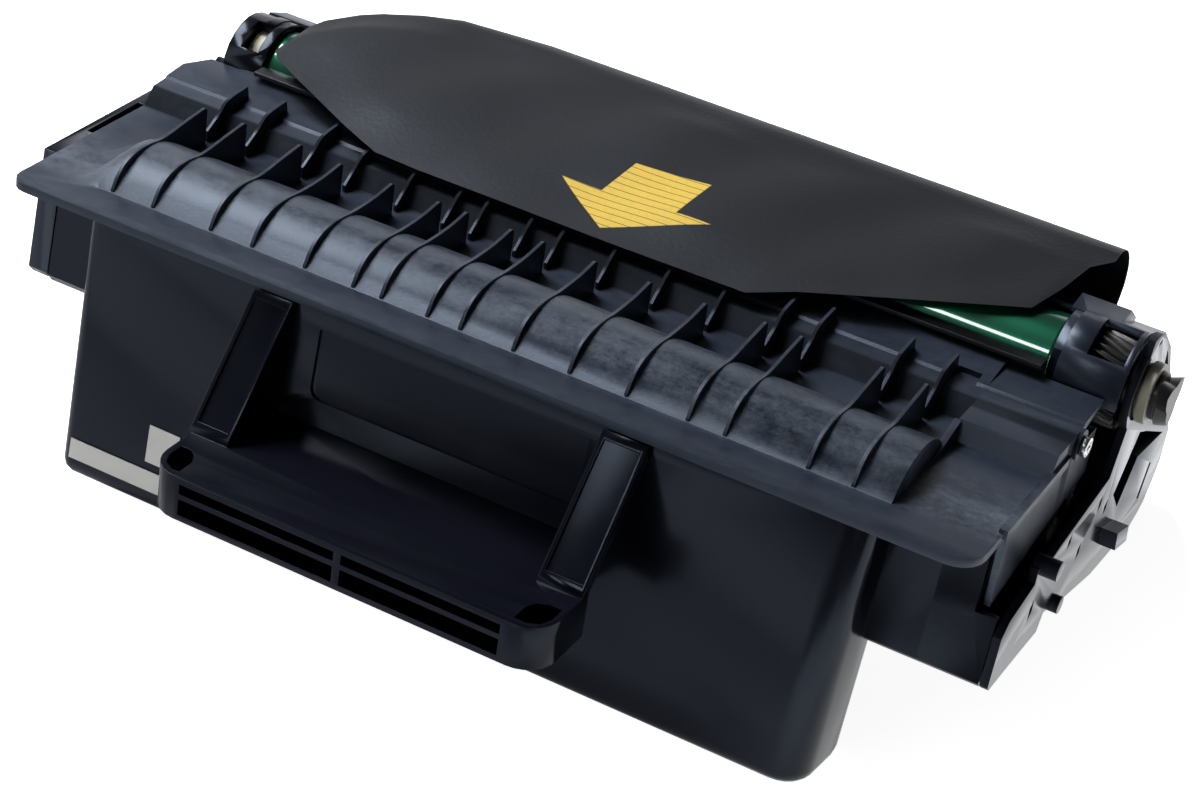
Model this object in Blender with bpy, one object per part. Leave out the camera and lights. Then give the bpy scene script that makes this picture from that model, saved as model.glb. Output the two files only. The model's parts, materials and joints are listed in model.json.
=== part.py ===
"""Toner cartridge with a leaning hopper, a finned paper-guide lid, a carrying
handle, a photoconductor drum under a folded light shield, and its gear train.

Deck frame: X runs along the lid from its left end, Y runs back from its front
edge, Z is normal to the lid's flange. The hopper's walls lean against it. All
pieces hang under the empty "deck", which tips the cartridge to its rest.
Lengths are in millimetres until finish_mesh scales them to metres.
"""
import math

import bmesh
import bpy
from mathutils import Matrix, Vector

MM = 0.001
GAP = 0.3             # clearance between neighbouring pieces

LID_LENGTH = 285.0
LID_THICK = 2.5
LID_DEPTH = 86.9      # front edge to back edge of the lid
LEAN = math.radians(8.24)    # hopper walls against the lid's normal
REST_TILT = math.radians(15.9)  # fall of the lid towards the drum at rest

WALL = 2.2            # moulded wall
TUB_X = (25.2, LID_LENGTH - 27.5)
TUB_FRONT = 2.0       # hopper's own frame
TUB_REAR = 35.6
TUB_FLOOR = -78.9
TUB_DRAFT = 0.016     # inset per millimetre of depth

UNIT_LEFT = 2.3       # inner face of the left cap
UNIT_RIGHT = LID_LENGTH + 3.4   # inner face of the gear cover
BAY_LEFT = LID_LENGTH - 13.5    # outer face of the developer's right end wall
SKIRT_IN = LID_LENGTH - 1.8     # inner face of the lid's right skirt
CAP_OUT = -4.5
PLATE = 2.3           # thickness of cap and gear cover

DRUM = (101.0, 4.5)
DRUM_R = 12.0
DRUM_X = (21.8, LID_LENGTH - 17.8)
ARCH_LEFT_R = 14.0
ARCH_LEFT_X = (8.6, 21.1)
ARCH_RIGHT_R = 15.0

MODULE = 0.8
DRUM_TEETH = 30
DEV_TEETH = 21
SUPPLY_TEETH = 13
IDLER_TEETH = 24
TRANSFER_TEETH = 24
AGITATOR_TEETH = 34
HELIX = math.radians(14)
GEAR_X = LID_LENGTH - 12.0      # first face of the gear train
LAYER = 4.6           # width of one layer of gears
LAYER_GAP = 0.4
BACKLASH = 0.12

DEV_R = 8.0
SUPPLY_R = 7.0
CHARGE_R = 6.0
ROLLER_X = (22.0, LID_LENGTH - 21.0)
COUPLING_END = GEAR_X + 26.0
AGITATOR = (36.5, -24.5)
PADDLE_R = 12.6

DOME_FRONT = 12.0
DOME_BACK = 45.0
DOME_RISE = 8.5
DOME_X = (14.0, LID_LENGTH - 27.2)
FIN_THICK = 1.4
FIN_SHARE = (0.0923, 0.1389, 0.2046, 0.2512, 0.3098, 0.3628, 0.3933, 0.4425,
             0.4772, 0.5330, 0.5909, 0.6488, 0.7102, 0.7470, 0.8277, 0.8712)
FIN_X = tuple(LID_LENGTH * share for share in FIN_SHARE)

HANDLE_X = (81.0, 197.8)
HANDLE_TOP = -35.0
HANDLE_LOW = -47.8
RAIL_FRONT = -45.5
STRUT_X = ((80.2, 92.2), (184.6, 197.6))

SHEET_THICK = 0.4


def clear_scene():
    for obj in list(bpy.data.objects):
        bpy.data.objects.remove(obj, do_unlink=True)


def make_material(name, colour, roughness, metallic=0.0):
    mat = bpy.data.materials.new(name)
    mat.use_nodes = True
    shader = mat.node_tree.nodes["Principled BSDF"]
    shader.inputs["Base Color"].default_value = (*colour, 1.0)
    shader.inputs["Roughness"].default_value = roughness
    shader.inputs["Metallic"].default_value = metallic
    mat.diffuse_color = (*colour, 1.0)
    return mat


def make_empty(name, parent=None):
    obj = bpy.data.objects.new(name, None)
    bpy.context.scene.collection.objects.link(obj)
    obj.parent = parent
    return obj


def finish_mesh(name, bm, smooth=False):
    bmesh.ops.remove_doubles(bm, verts=bm.verts, dist=0.001)
    bmesh.ops.recalc_face_normals(bm, faces=bm.faces)
    bm.transform(Matrix.Scale(MM, 4))
    mesh = bpy.data.meshes.new(name)
    bm.to_mesh(mesh)
    bm.free()
    if smooth:
        for poly in mesh.polygons:
            poly.use_smooth = True
        mesh.set_sharp_from_angle(angle=math.radians(40))
    return mesh


def piece(name, bm, mat, at=(0.0, 0.0, 0.0), smooth=False):
    """One node. Its mesh is given around the point it is placed at."""
    mesh = finish_mesh(name, bm, smooth)
    mesh.materials.append(mat)
    obj = bpy.data.objects.new(name, mesh)
    bpy.context.scene.collection.objects.link(obj)
    obj.parent = DECK
    obj.location = Vector(at) * MM
    return obj


def operate(target, name, bm, operation):
    """Cut from or fuse to a piece with a hidden solid in deck coordinates."""
    mesh = finish_mesh(name, bm)
    obj = bpy.data.objects.new(name, mesh)
    bpy.context.scene.collection.objects.link(obj)
    obj.parent = DECK
    obj.hide_render = True
    obj.display_type = "WIRE"
    mod = target.modifiers.new(name, "BOOLEAN")
    mod.operation = operation
    mod.solver = "EXACT"
    mod.object = obj
    return obj


def cut(target, name, bm):
    return operate(target, name, bm, "DIFFERENCE")


def fuse(target, name, bm):
    return operate(target, name, bm, "UNION")


# Solids

def add_prism(bm, points, low, high, axis="x"):
    """Extrude a plane outline between two positions on an axis."""
    order = {
        "x": lambda a, b, c: (c, a, b),
        "y": lambda a, b, c: (a, c, b),
        "z": lambda a, b, c: (a, b, c),
    }[axis]
    first = [bm.verts.new(order(a, b, low)) for a, b in points]
    last = [bm.verts.new(order(a, b, high)) for a, b in points]
    count = len(points)
    bm.faces.new(first)
    bm.faces.new(last)
    for i in range(count):
        j = (i + 1) % count
        bm.faces.new((first[i], first[j], last[j], last[i]))
    return bm


def prism(points, low, high, axis="x"):
    return add_prism(bmesh.new(), points, low, high, axis)


def add_box(bm, x, y, z):
    corners = [(y[0], z[0]), (y[1], z[0]), (y[1], z[1]), (y[0], z[1])]
    return add_prism(bm, corners, x[0], x[1])


def box(x, y, z):
    return add_box(bmesh.new(), x, y, z)


def circle(centre, radius, count=32, start=0.0):
    return [(centre[0] + radius * math.cos(start + math.tau * i / count),
             centre[1] + radius * math.sin(start + math.tau * i / count))
            for i in range(count)]


def arc(centre, radius, start, stop, count):
    """Points from one angle to another, in degrees."""
    points = []
    for i in range(count + 1):
        angle = math.radians(start + (stop - start) * i / count)
        points.append((centre[0] + radius * math.cos(angle),
                       centre[1] + radius * math.sin(angle)))
    return points


def add_rod(bm, centre, radius, low, high, count=24):
    return add_prism(bm, circle(centre, radius, count), low, high)


def rod(centre, radius, low, high, count=24):
    return add_rod(bmesh.new(), centre, radius, low, high, count)


def lathe(profile, count=32, centre=(0.0, 0.0)):
    """Turn a closed outline of (x, radius) pairs about the X axis."""
    bm = bmesh.new()
    rings = []
    for x, radius in profile:
        if radius < 1e-6:
            rings.append([bm.verts.new((x, centre[0], centre[1]))])
        else:
            rings.append([bm.verts.new((x, a, b))
                          for a, b in circle(centre, radius, count)])
    pairs = list(zip(rings, rings[1:] + rings[:1]))
    for one, two in pairs:
        if len(one) == 1 and len(two) == 1:
            continue
        for i in range(count):
            j = (i + 1) % count
            if len(one) == 1:
                bm.faces.new((one[0], two[j], two[i]))
            elif len(two) == 1:
                bm.faces.new((one[i], one[j], two[0]))
            else:
                bm.faces.new((one[i], one[j], two[j], two[i]))
    return bm


def turned(steps, count=32, bore=0.0):
    """A stepped round piece: (x0, x1, radius) steps, with an open bore."""
    profile = [(steps[0][0], bore)]
    for x0, x1, radius in steps:
        profile.append((x0, radius))
        profile.append((x1, radius))
    profile.append((steps[-1][1], bore))
    return lathe(profile, count)


def polar(origin, distance, degrees):
    angle = math.radians(degrees)
    return (origin[0] + distance * math.cos(angle),
            origin[1] + distance * math.sin(angle))


def leaned(y, z):
    """Hopper frame to deck frame."""
    c = math.cos(LEAN)
    s = math.sin(LEAN)
    return y * c + z * s, -y * s + z * c


def floor_height(y, z):
    """Height above the lid corner, measured along true up at rest."""
    return -y * math.sin(REST_TILT) + z * math.cos(REST_TILT)


def on_floor(y, height):
    """Deck z of a floor point at the given deck y."""
    return (height + y * math.sin(REST_TILT)) / math.cos(REST_TILT)


# Gear train layout

def pitch_r(teeth):
    return MODULE * teeth / 2


def third_axis(one, one_reach, two, two_reach):
    """Lower crossing of two circles round two known axes."""
    dy = two[0] - one[0]
    dz = two[1] - one[1]
    span = math.hypot(dy, dz)
    along = (one_reach ** 2 - two_reach ** 2 + span ** 2) / (2 * span)
    off = math.sqrt(one_reach ** 2 - along ** 2)
    uy = dy / span
    uz = dz / span
    lower = (one[0] + along * uy - off * uz, one[1] + along * uz + off * uy)
    upper = (one[0] + along * uy + off * uz, one[1] + along * uz - off * uy)
    return min(lower, upper, key=lambda p: p[1])


DEV = polar(DRUM, pitch_r(DRUM_TEETH) + pitch_r(DEV_TEETH), 215)
SUPPLY = polar(DEV, DEV_R + SUPPLY_R + GAP, 200)
IDLER = third_axis(DEV, pitch_r(DEV_TEETH) + pitch_r(IDLER_TEETH),
                   SUPPLY, pitch_r(SUPPLY_TEETH) + pitch_r(IDLER_TEETH))
TRANSFER = third_axis(IDLER, pitch_r(IDLER_TEETH) + pitch_r(TRANSFER_TEETH),
                      AGITATOR,
                      pitch_r(AGITATOR_TEETH) + pitch_r(TRANSFER_TEETH))
CHARGE = polar(DRUM, DRUM_R + CHARGE_R + GAP, -50)


def meshed_phase(driver, driver_teeth, driver_phase, driven, driven_teeth):
    """Phase that puts a gap of the driven gear on a tooth of the driver."""
    line = math.atan2(driven[1] - driver[1], driven[0] - driver[0])
    index = (line - driver_phase) * driver_teeth / math.tau
    return line + math.pi - (0.5 - index) * math.tau / driven_teeth


def gear_bm(teeth, phase, hand, low, high, bore, sections=1):
    """Helical spur gear about the X axis, with its bore open."""
    bm = bmesh.new()
    radius = pitch_r(teeth)
    tip = radius + 0.75 * MODULE
    root = radius - 1.05 * MODULE
    half = math.tau * radius / teeth / 4 - BACKLASH
    slope = math.tan(math.radians(20))
    half_tip = half - (tip - radius) * slope
    half_root = half + (radius - root) * slope
    outline = []
    for k in range(teeth):
        middle = math.tau * k / teeth + phase
        for side, width, r in ((-1, half_root, root), (-1, half_tip, tip),
                               (1, half_tip, tip), (1, half_root, root)):
            outline.append((r, middle + side * width / r))
    rims = []
    for s in range(sections + 1):
        x = low + (high - low) * s / sections
        twist = hand * (x - GEAR_X) * math.tan(HELIX) / radius
        rims.append([bm.verts.new((x, r * math.cos(a + twist), r * math.sin(a + twist)))
                     for r, a in outline])
    for one, two in zip(rims, rims[1:]):
        for i in range(len(outline)):
            j = (i + 1) % len(outline)
            bm.faces.new((one[i], one[j], two[j], two[i]))
    holes = []
    for rim, x in ((rims[0], low), (rims[-1], high)):
        twist = hand * (x - GEAR_X) * math.tan(HELIX) / radius
        hole = [bm.verts.new((x, bore * math.cos(a), bore * math.sin(a)))
                for a in (phase + twist + math.tau * k / teeth for k in range(teeth))]
        holes.append(hole)
        for k in range(teeth):
            n = (k + 1) % teeth
            tooth = rim[4 * k:4 * k + 4]
            bm.faces.new((*tooth, hole[k]))
            bm.faces.new((tooth[3], rim[4 * n], hole[n], hole[k]))
    for k in range(teeth):
        n = (k + 1) % teeth
        bm.faces.new((holes[0][k], holes[0][n], holes[1][n], holes[1][k]))
    return bm


# Lid

def dome_top(y, proud=0.0):
    """Height of the dome's arc, or of a line lifted off it."""
    half = (DOME_BACK - DOME_FRONT) / 2
    radius = (half ** 2 + DOME_RISE ** 2) / (2 * DOME_RISE)
    middle = (DOME_BACK + DOME_FRONT) / 2
    radius_out = radius + proud
    return DOME_RISE - radius + math.sqrt(max(radius_out ** 2 - (y - middle) ** 2, 0.0))


DOME_Y = [DOME_FRONT + (DOME_BACK - DOME_FRONT) * i / 10 for i in range(11)]
REAR_TOP = [(46.0, -0.5), (61.5, -0.5), (65.5, 4.8), (71.0, 5.2), (71.8, 5.9),
            (LID_DEPTH, 8.2)]
REAR_TOP_RIGHT = [(50.0, 0.0), (53.0, 5.0), (65.5, 5.0), (71.0, 5.2), (71.8, 5.9),
                  (LID_DEPTH, 6.6)]
REAR_TOP_LEFT = [(46.0, 0.0), (61.5, 0.0), (65.5, 4.8), (71.0, 5.2), (71.8, 5.9),
                 (LID_DEPTH, 7.6)]
UNDER_BACK = [(62.6, -LID_THICK), (66.8, 2.3), (72.4, 3.4), (LID_DEPTH, 5.7)]


def lid_profile(lift, rear):
    """Top line of the lid, front to back; lift scales the dome."""
    line = [(0.0, 0.0)]
    line += [(y, lift * dome_top(y)) for y in DOME_Y]
    return line + rear


def under_profile(lift):
    """Underside, with the dome hollow where lift is 1."""
    line = [(0.0, -LID_THICK)]
    for y in DOME_Y:
        hollow = dome_top(y, -WALL) if abs(y - 28.5) < 15.0 else -LID_THICK
        line.append((y, -LID_THICK + lift * max(hollow + LID_THICK, 0.0)))
    return line + UNDER_BACK


def grid(bm, stations, flip):
    rows = [[bm.verts.new((x, y, z)) for y, z in line] for x, line in stations]
    for one, two in zip(rows, rows[1:]):
        for i in range(len(one) - 1):
            quad = (one[i], one[i + 1], two[i + 1], two[i])
            bm.faces.new(quad[::-1] if flip else quad)
    return rows


def build_lid(mat):
    bm = bmesh.new()
    right = DOME_X[1]
    top = grid(bm, [
        (0.0, lid_profile(0.0, REAR_TOP_LEFT)),
        (DOME_X[0], lid_profile(0.0, REAR_TOP_LEFT)),
        (DOME_X[0] + 3.5, lid_profile(0.45, REAR_TOP)),
        (DOME_X[0] + 7.0, lid_profile(0.85, REAR_TOP)),
        (DOME_X[0] + 11.0, lid_profile(1.0, REAR_TOP)),
        (right, lid_profile(1.0, REAR_TOP)),
        (right, lid_profile(0.0, REAR_TOP_RIGHT)),
        (LID_LENGTH, lid_profile(0.0, REAR_TOP_RIGHT)),
    ], True)
    under = grid(bm, [
        (0.0, under_profile(0.0)),
        (DOME_X[0] + 6.0, under_profile(0.0)),
        (DOME_X[0] + 13.0, under_profile(1.0)),
        (right - WALL, under_profile(1.0)),
        (right - WALL, under_profile(0.0)),
        (LID_LENGTH, under_profile(0.0)),
    ], False)
    bm.faces.new(top[0] + under[0][::-1])
    bm.faces.new(under[-1] + top[-1][::-1])
    bm.faces.new([row[0] for row in under] + [row[0] for row in top][::-1])
    bm.faces.new([row[-1] for row in top] + [row[-1] for row in under][::-1])
    bmesh.ops.remove_doubles(bm, verts=bm.verts, dist=0.001)
    bmesh.ops.dissolve_degenerate(bm, dist=0.001, edges=bm.edges)
    bmesh.ops.dissolve_limit(bm, angle_limit=math.radians(0.5),
                             verts=bm.verts, edges=bm.edges)
    lid = piece("hopper_lid", bm, mat)

    fins = bmesh.new()
    inner = [(y, dome_top(y, -WALL / 2)) for y in (42.0, 36.0, 28.5, 21.0, 15.8)]
    for x in FIN_X:
        tall = 1.3 if x < 60 or x > 200 else 0.0
        peak = 9.3 + 0.9 * tall
        outline = [(12.4, 0.8), (14.4, dome_top(14.4) + 1.9),
                   (17.6, dome_top(17.6) + 2.2), (22.0, dome_top(22.0) + 1.5),
                   (27.5, dome_top(27.5) + 0.5), (35.0, dome_top(35.0) + 0.9),
                   (45.0, peak - 1.0), (54.0, peak), (55.0, peak - 0.6),
                   (55.0, -1.5), (46.0, -1.6)] + inner + [(13.2, -1.2)]
        add_prism(fins, outline, x - FIN_THICK / 2, x + FIN_THICK / 2)
        back = [(57.4 - tall, -1.5), (57.4 - tall, 1.2 + tall),
                (65.6, 7.6 + tall), (72.4 + 2 * tall, 8.6 + tall),
                (73.4 + 2 * tall, 4.9), (67.0, 3.6), (62.0, -1.6)]
        add_prism(fins, back, x - FIN_THICK / 2, x + FIN_THICK / 2)
    fuse(lid, "fin_set", fins)

    ramp = [(34.0, -1.0), (34.0, 0.3), (52.2, 5.2), (53.0, 3.0), (50.0, -1.0)]
    fuse(lid, "ramp", prism(ramp, LID_LENGTH - 28.1, LID_LENGTH - 26.3))
    skirt = [(22.0, -1.5), (84.6, -1.5), (84.6, -15.4), (79.6, -16.2),
             (54.4, -18.6), (22.0, -23.8)]
    fuse(lid, "skirt", prism(skirt, SKIRT_IN, LID_LENGTH))
    fuse(lid, "rim", box((SKIRT_IN + 0.5, LID_LENGTH + 1.0), (18.0, 62.0), (-1.6, 1.1)))
    fuse(lid, "screw_boss", rod(SCREW_AT, 4.2, LID_LENGTH - 7.5, LID_LENGTH + 1.0, 20))
    cut(lid, "screw_hole", rod(SCREW_AT, 1.7, LID_LENGTH - 9.0, LID_LENGTH + 5.0, 16))

    plan = [(5.0, 0.0)] + arc((LID_LENGTH - 8.0, 8.0), 8.0, -90, 0, 5)
    lug, arch_clear = LID_LENGTH + 1.4, LID_LENGTH - 17.6
    plan += [(LID_LENGTH, 12.0), (lug, 18.0), (lug, 85.2), (arch_clear, 85.2),
             (arch_clear, LID_DEPTH), (5.0, LID_DEPTH), (0.0, LID_DEPTH - 7.0), (0.0, 5.0)]
    plan += arc((5.0, 5.0), 5.0, 180, 270, 4)[1:-1]
    operate(lid, "lid_outline", prism(plan, -60.0, 40.0, "z"), "INTERSECT")
    pocket = box((LID_LENGTH - 36.4, LID_LENGTH - 30.2), (70.4, 75.6), (5.0, 20.0))
    cut(lid, "lid_pocket", pocket)
    return lid


# Housing

def tub_bm(inset, top, floor):
    """Leaning, drafted box with rounded corners, in deck coordinates."""
    bm = bmesh.new()
    levels = [(top, 0.0)]
    bottom_r = 4.0
    for i in range(4):
        angle = math.radians(30 * i)
        levels.append((floor + bottom_r * (1 - math.sin(angle)),
                       bottom_r * (1 - math.cos(angle))))
    loops = []
    for z, round_in in levels:
        shrink = inset + round_in + TUB_DRAFT * -z
        x0 = TUB_X[0] + shrink
        x1 = TUB_X[1] - shrink
        y0 = TUB_FRONT + shrink
        y1 = TUB_REAR - shrink * 0.6
        radii = [max(r - inset - round_in, 0.6) for r in (4.0, 9.0, 9.0, 6.0)]
        centres = [(x0 + radii[0], y0 + radii[0]), (x1 - radii[1], y0 + radii[1]),
                   (x1 - radii[2], y1 - radii[2]), (x0 + radii[3], y1 - radii[3])]
        loop = []
        for k in range(4):
            loop += arc(centres[k], radii[k], 180 + 90 * k, 270 + 90 * k, 5)
        ring = []
        for x, y in loop:
            dy, dz = leaned(y, z)
            ring.append(bm.verts.new((x, dy, dz)))
        loops.append(ring)
    for one, two in zip(loops, loops[1:]):
        for i in range(len(one)):
            j = (i + 1) % len(one)
            bm.faces.new((one[i], one[j], two[j], two[i]))
    bm.faces.new(loops[0])
    bm.faces.new(loops[-1])
    return bm


def housing_line():
    """Outline of the developer unit below the lid."""
    top = -LID_THICK - GAP
    return [(21.5, top), (15.9, -42.4), (17.2, -43.8), (50.5, -43.1), (54.0, -40.6),
            (69.5, -45.0), (90.0, -50.2), (92.0, -48.4), (92.0, -24.0), (89.2, -20.0), (89.2, -2.0),
            (84.6, -1.0), (84.6, 5.0), (72.6, 3.1), (67.2, 1.9), (63.2, top)]


def build_housing(mat):
    bm = tub_bm(0.0, 8.0, TUB_FLOOR)
    top = -LID_THICK - GAP
    bmesh.ops.recalc_face_normals(bm, faces=bm.faces)
    geometry = bm.verts[:] + bm.edges[:] + bm.faces[:]
    bmesh.ops.bisect_plane(bm, geom=geometry, plane_co=(0, 0, top),
                           plane_no=(0, 0, 1), clear_outer=True)
    rim = [e for e in bm.edges if e.is_boundary]
    bmesh.ops.contextual_create(bm, geom=rim)
    low = min(floor_height(v.co.y, v.co.z) for v in bm.verts)
    housing = piece("toner_housing", bm, mat)

    line = housing_line()
    raised = [line[0], (16.5, -36.0), (18.0, -38.2), (50.5, -39.8), *line[4:]]
    fuse(housing, "left_block", prism(raised, UNIT_LEFT, TUB_X[0] + 4.0))
    fuse(housing, "developer_block", prism(line, TUB_X[0], BAY_LEFT))
    bay = [(18.6, -24.4), (15.9, -42.4), (17.2, -43.8), (50.5, -43.1), (54.0, -40.6),
           (69.5, -45.0), (89.0, -50.0), (89.0, -47.9), (69.9, -42.9), (54.3, -38.5),
           (49.8, -41.0), (18.2, -41.7), (20.7, -24.4)]
    fuse(housing, "gear_bay", prism(bay, BAY_LEFT - 3.5, UNIT_RIGHT))
    strip = [(88.0, -50.0), (104.6, -51.2), (104.6, -49.2), (88.0, -48.0)]
    fuse(housing, "bay_floor", prism(strip, BAY_LEFT - 0.6, UNIT_RIGHT))
    guard = [(21.5, top), (18.3, -26.0), (20.4, -26.0), (23.6, top)]
    fuse(housing, "bay_front", prism(guard, BAY_LEFT - 3.3, SKIRT_IN - 0.8))
    pins = bmesh.new()
    add_rod(pins, IDLER, 2.5, BAY_LEFT - 1.5, GEAR_X + 2 * LAYER + LAYER_GAP + 0.4, 20)
    add_rod(pins, TRANSFER, 2.5, BAY_LEFT - 1.5, GEAR_X + LAYER + 0.4, 20)
    fuse(housing, "gear_pins", pins)

    cut(housing, "hopper_hollow", tub_bm(WALL, 20.0, TUB_FLOOR + WALL))
    hollow = [(24.4, 12.0), (18.2, -41.6), (49.8, -41.0), (54.3, -38.4), (69.9, -42.8),
              (88.9, -47.8),
              (89.8, -47.0), (89.8, -25.2), (86.6, -20.8), (86.6, -17.6),
              (98.0, -17.6), (98.0, 12.0)]
    cut(housing, "developer_hollow",
        prism(hollow, TUB_X[0] + WALL, BAY_LEFT - WALL))
    end_hollow = [hollow[0], (18.8, -36.0), (50.2, -37.6), *hollow[3:]]
    cut(housing, "end_hollow", prism(end_hollow, UNIT_LEFT + WALL, TUB_X[0] + WALL + 1.0))

    bores = bmesh.new()
    for x0, x1 in ((UNIT_LEFT - 2, UNIT_LEFT + WALL + 1), (BAY_LEFT - WALL - 1, BAY_LEFT + 1)):
        add_rod(bores, DEV, 4.2 + GAP, x0, x1)
        add_rod(bores, SUPPLY, 2.5 + GAP, x0, x1)
        add_rod(bores, AGITATOR, 3.0 + GAP, x0, x1)
    cut(housing, "shaft_bores", bores)
    cut(housing, "plug_hole", rod(PLUG_AT, 9.0, UNIT_LEFT - 2, UNIT_LEFT + WALL + 1, 20))

    panel = bmesh.new()
    corner = [(100.6, -8.0), (100.6, -24.6)]
    corner += arc((103.6, -24.6), 3.0, 180, 270, 4)[1:]
    corner += [(181.0, -27.6), (181.0, -8.0)]
    shallow = []
    for x, z in corner:
        shallow.append((x, TUB_FRONT - 1.5, z))
        shallow.append((x, TUB_FRONT - TUB_DRAFT * z + 0.9, z))
    verts = []
    for x, y, z in shallow:
        dy, dz = leaned(y, z)
        verts.append(panel.verts.new((x, dy, dz)))
    panel.faces.new(verts[0::2])
    panel.faces.new(verts[1::2])
    count = len(verts)
    for i in range(0, count, 2):
        j = (i + 2) % count
        panel.faces.new((verts[i], verts[j], verts[j + 1], verts[i + 1]))
    cut(housing, "front_panel", panel)
    return housing, low


# Handle

def build_handle(mat):
    left, right = HANDLE_X
    tray_left = STRUT_X[0][1] - 2.0
    tray_right = STRUT_X[1][0] + 2.0
    wall_y = leaned(TUB_FRONT + TUB_DRAFT * 35, HANDLE_TOP)[0] - GAP
    back_top = leaned(TUB_FRONT, HANDLE_TOP + 2)[0]
    plan = [(tray_left, wall_y + 3.0), (tray_left, -22.5), (left, -22.5)]
    plan += arc((left + 9.0, RAIL_FRONT + 9.0), 9.0, 180, 270, 6)
    plan += arc((right - 9.0, RAIL_FRONT + 9.0), 9.0, 270, 360, 6)
    plan += [(right, -22.5), (tray_right, -22.5), (tray_right, wall_y + 3.0)]
    handle = piece("handle", prism(plan, HANDLE_LOW, HANDLE_TOP, "z"), mat)

    under = box((tray_left + 2.0, tray_right - 2.0), (-31.5, 4.0),
                (HANDLE_LOW - 4, HANDLE_TOP - WALL))
    cut(handle, "finger_hollow", under)
    rail = box((91.4, 186.0), (RAIL_FRONT + 1.8, -33.3), (HANDLE_LOW + 1.8, HANDLE_TOP - 1.9))
    slots = bmesh.new()
    for x0, x1 in ((91.4, 137.9), (140.1, 186.0)):
        add_box(slots, (x0, x1), (RAIL_FRONT - 3, RAIL_FRONT + 3), (-39.7, HANDLE_TOP - 1.9))
        add_box(slots, (x0, x1), (RAIL_FRONT - 3, RAIL_FRONT + 3), (HANDLE_LOW + 1.8, -41.3))
    cut(handle, "rail_hollow", rail)
    cut(handle, "rail_slots", slots)
    wells = bmesh.new()
    add_prism(wells, [(83.0, -32.8), (83.0, -38.0), (84.4, -41.4), (87.4, -43.0),
                      (89.4, -43.0), (89.4, -37.4), (88.2, -34.6), (86.0, -32.8)],
              HANDLE_LOW + 2.0, HANDLE_TOP + 2.0, "z")
    add_prism(wells, [(196.0, -32.8), (196.0, -38.0), (194.6, -41.4), (191.6, -43.0),
                      (188.2, -43.0), (188.2, -37.4), (189.6, -34.6), (192.0, -32.8)],
              HANDLE_LOW + 2.0, HANDLE_TOP + 2.0, "z")
    cut(handle, "corner_wells", wells)

    arms = bmesh.new()
    top_y, top_z = 0.1, -LID_THICK - GAP - 0.2
    foot_y, foot_z = -25.6, HANDLE_TOP + 0.9
    for x0, x1 in STRUT_X:
        side = [(top_y, top_z), (foot_y, foot_z), (foot_y - 0.6, foot_z - 2.4),
                (foot_y + 2.6, foot_z - 2.4), (top_y + 0.6, top_z - 4.6)]
        add_prism(arms, side, x0, x1)
    fuse(handle, "struts", arms)
    webs = bmesh.new()
    for x0, x1 in ((tray_left, tray_left + 2.0), (tray_right - 2.0, tray_right)):
        line = [(-0.9, -7.0), (back_top - GAP + 0.6, HANDLE_TOP - 1.0),
                (-24.0, HANDLE_TOP - 1.0), (-3.0, -7.6)]
        add_prism(webs, line, x0, x1)
    fuse(handle, "strut_webs", webs)
    channels = bmesh.new()
    length = math.hypot(foot_y - top_y, foot_z - top_z)
    ny = -(foot_z - top_z) / length
    nz = (foot_y - top_y) / length
    for x0, x1 in STRUT_X:
        line = []
        for t, n in ((0.06, 0.8), (0.06, -1.5), (0.94, -1.5), (0.94, 0.8)):
            line.append((top_y + t * (foot_y - top_y) + n * ny,
                         top_z + t * (foot_z - top_z) + n * nz))
        add_prism(channels, line, x0 + 1.3, x1 - 1.3)
    cut(handle, "strut_channels", channels)
    wall = [leaned(TUB_FRONT - GAP, 0.0), leaned(TUB_FRONT + TUB_DRAFT * 60 - GAP, -60.0),
            (20.0, -60.0), (20.0, 0.0)]
    cut(handle, "hopper_wall", prism(wall, 60.0, 220.0))
    return handle


# Drum frame

LEFT_TOP = [(92.4, 3.4), (104.0, -5.6), (118.0, -15.0), (150.0, -37.0)]


def ring_line(radius, bore, start, stop, count=18):
    outer = arc(DRUM, radius, start, stop, count)
    inner = arc(DRUM, bore, stop, start, count)
    return outer + inner


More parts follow.
